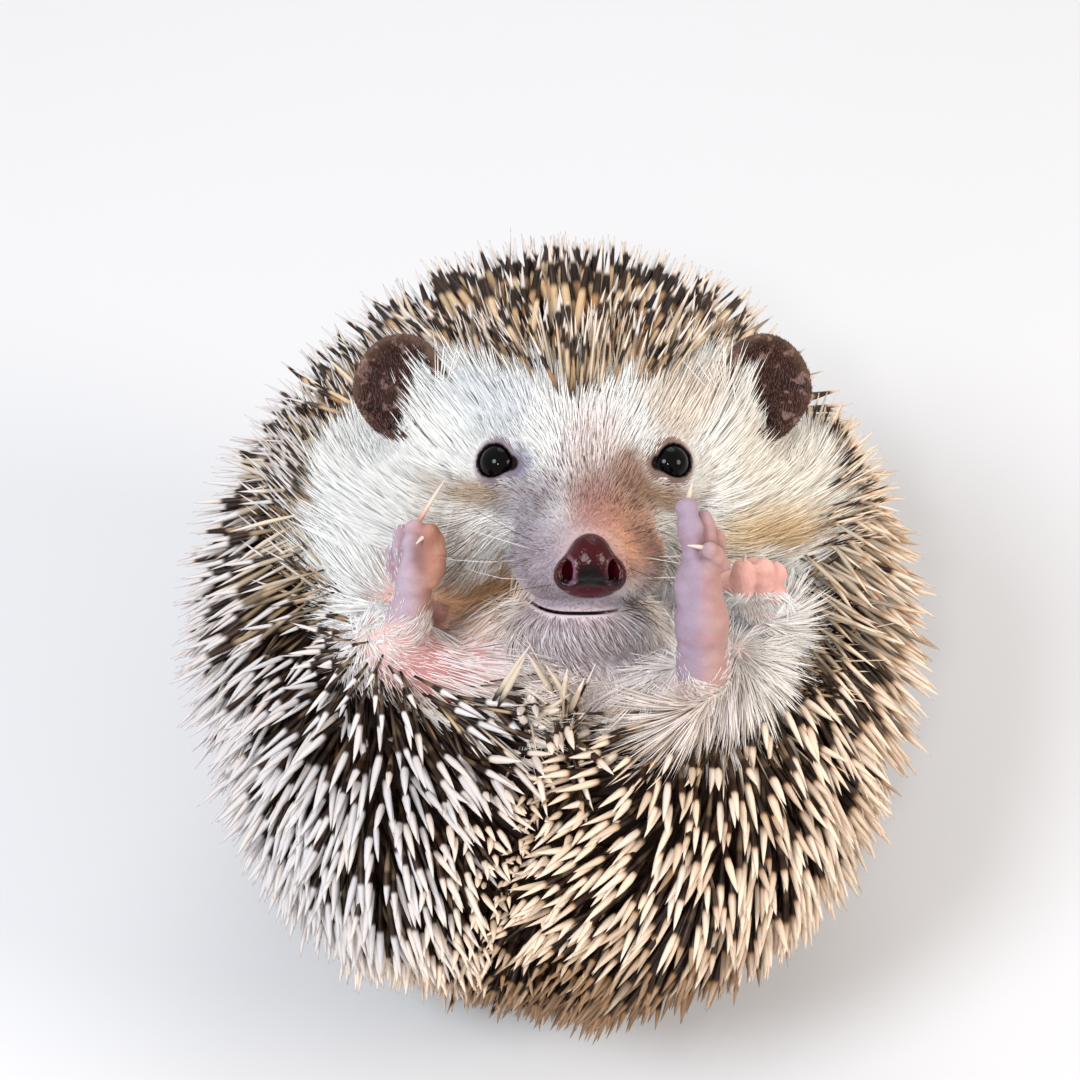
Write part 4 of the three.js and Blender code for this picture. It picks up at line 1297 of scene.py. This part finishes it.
class Paint:
    """One material and its nodes."""

    def __init__(self, name, **constants):
        self.material = bpy.data.materials.new(name)
        self.material.use_nodes = True
        self.tree = self.material.node_tree
        self.shader = self.tree.nodes["Principled BSDF"]
        for key, value in constants.items():
            self.shader.inputs[key.replace("_", " ")].default_value = value
        self.place = self.node("ShaderNodeTexCoord", {}, {}, "Object")

    def node(self, kind, settings, inputs, output=0):
        made = self.tree.nodes.new(kind)
        for key, value in settings.items():
            setattr(made, key, value)
        for key, value in inputs.items() if isinstance(inputs, dict) else enumerate(inputs):
            if isinstance(value, Value):
                self.tree.links.new(value.socket, made.inputs[key])
            else:
                made.inputs[key].default_value = value
        return Value(self, made.outputs[output])

    def attribute(self, name, output="Fac"):
        return self.node("ShaderNodeAttribute", {"attribute_name": name}, {}, output)

    def mix(self, a, b, factor):
        a, b = (v if isinstance(v, Value) else (*map(float, v), 1.0) for v in (a, b))
        return self.node("ShaderNodeMix", {"data_type": "RGBA"}, {0: factor, 6: a, 7: b}, 2)

    def scaled(self, colour, factor):
        return self.node("ShaderNodeVectorMath", {"operation": "SCALE"}, {0: colour, "Scale": factor})

    def noise(self, scale, detail=3.0):
        sockets = {"Vector": self.place, "Scale": scale, "Detail": detail}
        return self.node("ShaderNodeTexNoise", {}, sockets, "Fac")

    def cells(self, scale):
        return self.node("ShaderNodeTexVoronoi", {}, {"Vector": self.place, "Scale": scale}, "Distance")

    def bump(self, height, strength, distance):
        sockets = {"Strength": strength, "Distance": distance, "Height": height}
        return self.node("ShaderNodeBump", {}, sockets)

    def set(self, **inputs):
        for key, value in inputs.items():
            self.tree.links.new(value.socket, self.shader.inputs[key.replace("_", " ")])
        return self.material


def spine_paint():
    p = Paint("banded_spine", Specular_IOR_Level=0.3)
    along, own, pale, warm, deep = map(p.attribute, ("along", "own", "pale", "warm", "deep"))
    low = 0.46 + own * 0.16 - deep * 0.22
    # Past 1 the warmth carries a painted shade: the pale tip starts later and is darkened to brown.
    high = low + 0.17 + own * 0.04 + (1 - deep) * 0.05 + warm.step(0.9, 1.5) * 0.14
    dark = along.step(low, low + 0.08) * (1 - along.step(high, high + 0.07))
    dark = dark * (1 - pale.step(0.5, 0.65))
    band = p.mix(tone("0c0604"), tone("2e1a10"), p.noise(900))
    band = p.mix(band, tone("3c2416"), own.step(0.55, 1.0) * 0.6)
    base = p.mix(tone("9c6c3e"), tone("d8bd98"), own)
    base = p.mix(base, tone("eadcc8"), pale.step(0.35, 0.9) * 0.8)
    # Painted shade among the roots: dark where each spine leaves the skin, and its lower part darkened by
    # deep.
    base = p.mix(tone("2a180e"), base, along.step(0.08, 0.4))
    base = p.mix(base, band, deep * 0.9)
    tip = p.mix(tone("cfcacb"), tone("ecd6bf"), warm)
    tip = p.mix(tip, tone("7d5a3a"), warm.step(0.9, 1.5) * 0.9)
    tip = p.mix(tip, tone("c9ab84"), (1 - deep) * own * 0.35)
    tip = p.mix(p.mix(tip, tone("a67a4e"), warm * 0.8), tip, along.step(high, high + 0.14))
    colour = p.mix(base, tip, along.step(high - 0.02, high + 0.05))
    return p.set(Base_Color=p.mix(colour, band, dark), Roughness=0.36 + p.noise(1500) * 0.2)


def fur_paint():
    p = Paint("soft_fur", Specular_IOR_Level=0.25, Sheen_Weight=0.2)
    tint, along, own = p.attribute("tint", "Color"), p.attribute("along"), p.attribute("own")
    # Each hair is a little darker at its root: a painted shade.
    colour = p.scaled(tint, 0.95 + along * 0.05)
    return p.set(Base_Color=colour, Roughness=0.55 + own * 0.15)


def skin_paint():
    soft = {"Subsurface_Weight": 0.1, "Subsurface_Scale": 0.002}
    p = Paint("hide", Specular_IOR_Level=0.15, Coat_Roughness=0.15, **soft)
    tint = p.attribute("tint", "Color")
    wet, rim, bare, ear, lip, mouth = map(p.attribute, ("wet", "rim", "bare", "ear", "lip", "mouth"))
    fine, coarse, blotch = p.noise(2400), p.noise(700), p.noise(320)
    colour = p.scaled(tint, 0.86 + 0.28 * coarse)
    colour = p.mix(colour, p.scaled(colour, 0.55), blotch.step(0.5, 0.62) * ear)
    colour = p.mix(colour, tone("9a7c74"), coarse.step(0.56, 0.66) * ear * 0.55)
    colour = p.mix(colour, tone("a0585c"), blotch.step(0.48, 0.66) * bare * (1 - ear) * 0.2)
    colour = p.mix(colour, tone("1a1012"), rim)
    # A dark line along the groove between the lips: painted shade.
    colour = p.mix(colour, tone("2a1420"), (1 - (lip * lip).step(0.015, 0.07)) * mouth)
    rough = (0.58 + 0.12 * fine) * (1 - wet) * (1 - rim) + wet * 0.18 + rim * 0.12
    grain = p.cells(2600) * 0.5 + fine * 0.5 + coarse * bare * 0.9
    bump = p.bump(grain, 0.5, 0.0002)
    return p.set(Base_Color=colour, Roughness=rough, Coat_Weight=wet * 0.15 + rim * 0.15, Normal=bump)


def plain_paint(name, colour, second, scale, rough, **constants):
    p = Paint(name, **constants)
    mixed = p.mix(tone(colour), tone(second), p.noise(scale))
    return p.set(Base_Color=mixed, Roughness=rough + p.noise(scale * 3) * 0.08)


def horn_paint():
    p = Paint("claw_horn", Specular_IOR_Level=0.5)
    along = p.attribute("along")
    colour = p.mix(tone("b98a7e"), tone("cfc0b0"), along.step(0.1, 0.55))
    return p.set(Base_Color=colour, Roughness=0.25 + p.noise(1200) * 0.15)


def finished(piece, material):
    piece.data.materials.clear()
    piece.data.materials.append(material)
    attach(piece, "root")


spine_look, fur_look, horn_look = spine_paint(), fur_paint(), horn_paint()
eye_look = plain_paint("wet_eye", "020203", "050304", 300, 0.01, Specular_IOR_Level=0.14)
for piece, slot in coat_pieces:
    finished(piece, spine_look if slot == "spines" else fur_look)
finished(skin, skin_paint())
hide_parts(*[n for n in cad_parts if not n.startswith(("eye", "claw"))])
for word, piece in eyes.items():
    finished(piece, eye_look)
    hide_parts("eye_" + word)
for piece, nodes in claws.values():
    finished(piece, horn_look)
    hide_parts(*nodes)

# ------------------------------------------------------------ floor, light and camera

VIEW_AXIS = (-1.97, 12.5)  # where the camera's axis meets the pose frame
VIEW_AWAY = 300.0
FOCAL, SENSOR = 76.15, 36.0
camera = added("camera", bpy.data.cameras.new("camera"))
camera.data.lens, camera.data.sensor_width = FOCAL, SENSOR
camera.data.clip_start, camera.data.clip_end = 0.01, 10
pose = Matrix(LEAN.tolist()).to_4x4()
pose.translation = placed(np.array([*VIEW_AXIS, VIEW_AWAY]))
camera.matrix_world = pose
bpy.context.scene.camera = camera

FLOOR_HALF = 2
floor_mesh = bpy.data.meshes.new("floor")
floor_corners = [(x * FLOOR_HALF, y * FLOOR_HALF, 0) for x, y in ((-1, -1), (1, -1), (1, 1), (-1, 1))]
floor_mesh.from_pydata(floor_corners, [], [(0, 1, 2, 3)])
floor_mesh.materials.append(plain_paint("pale_floor", "cfcfd2", "cbcbce", 3, 0.7))
floor = added("floor", floor_mesh)


LIT_PLACE = Vector((0, 0, 0.05))  # what every light faces


def area_light(name, place, size, watts, colour):
    light = bpy.data.lights.new(name, "AREA")
    light.shape, light.size, light.energy, light.color = "DISK", size, watts, colour
    lamp = added(name, light)
    lamp.location = place
    lamp.rotation_euler = (LIT_PLACE - Vector(place)).to_track_quat("-Z", "Y").to_euler()


area_light("window", (-0.40, -0.30, 0.70), 0.30, 4.8, (0.9, 0.95, 1.0))
area_light("lamp", (0.60, -0.20, 0.45), 0.30, 2.9, (1.0, 0.88, 0.74))
area_light("back", (0.1, 0.6, 0.6), 0.5, 1.5, (1.0, 0.98, 0.95))
area_light("catch", (-0.10, -0.45, 0.55), 0.05, 0.9, (1.0, 0.98, 0.96))
world = bpy.data.worlds.new("studio")
world.use_nodes = True
world.node_tree.nodes["Background"].inputs["Color"].default_value = (1, 1, 1, 1)
world.node_tree.nodes["Background"].inputs["Strength"].default_value = 0.65
bpy.context.scene.world = world
bpy.context.scene.view_settings.view_transform = "Standard"
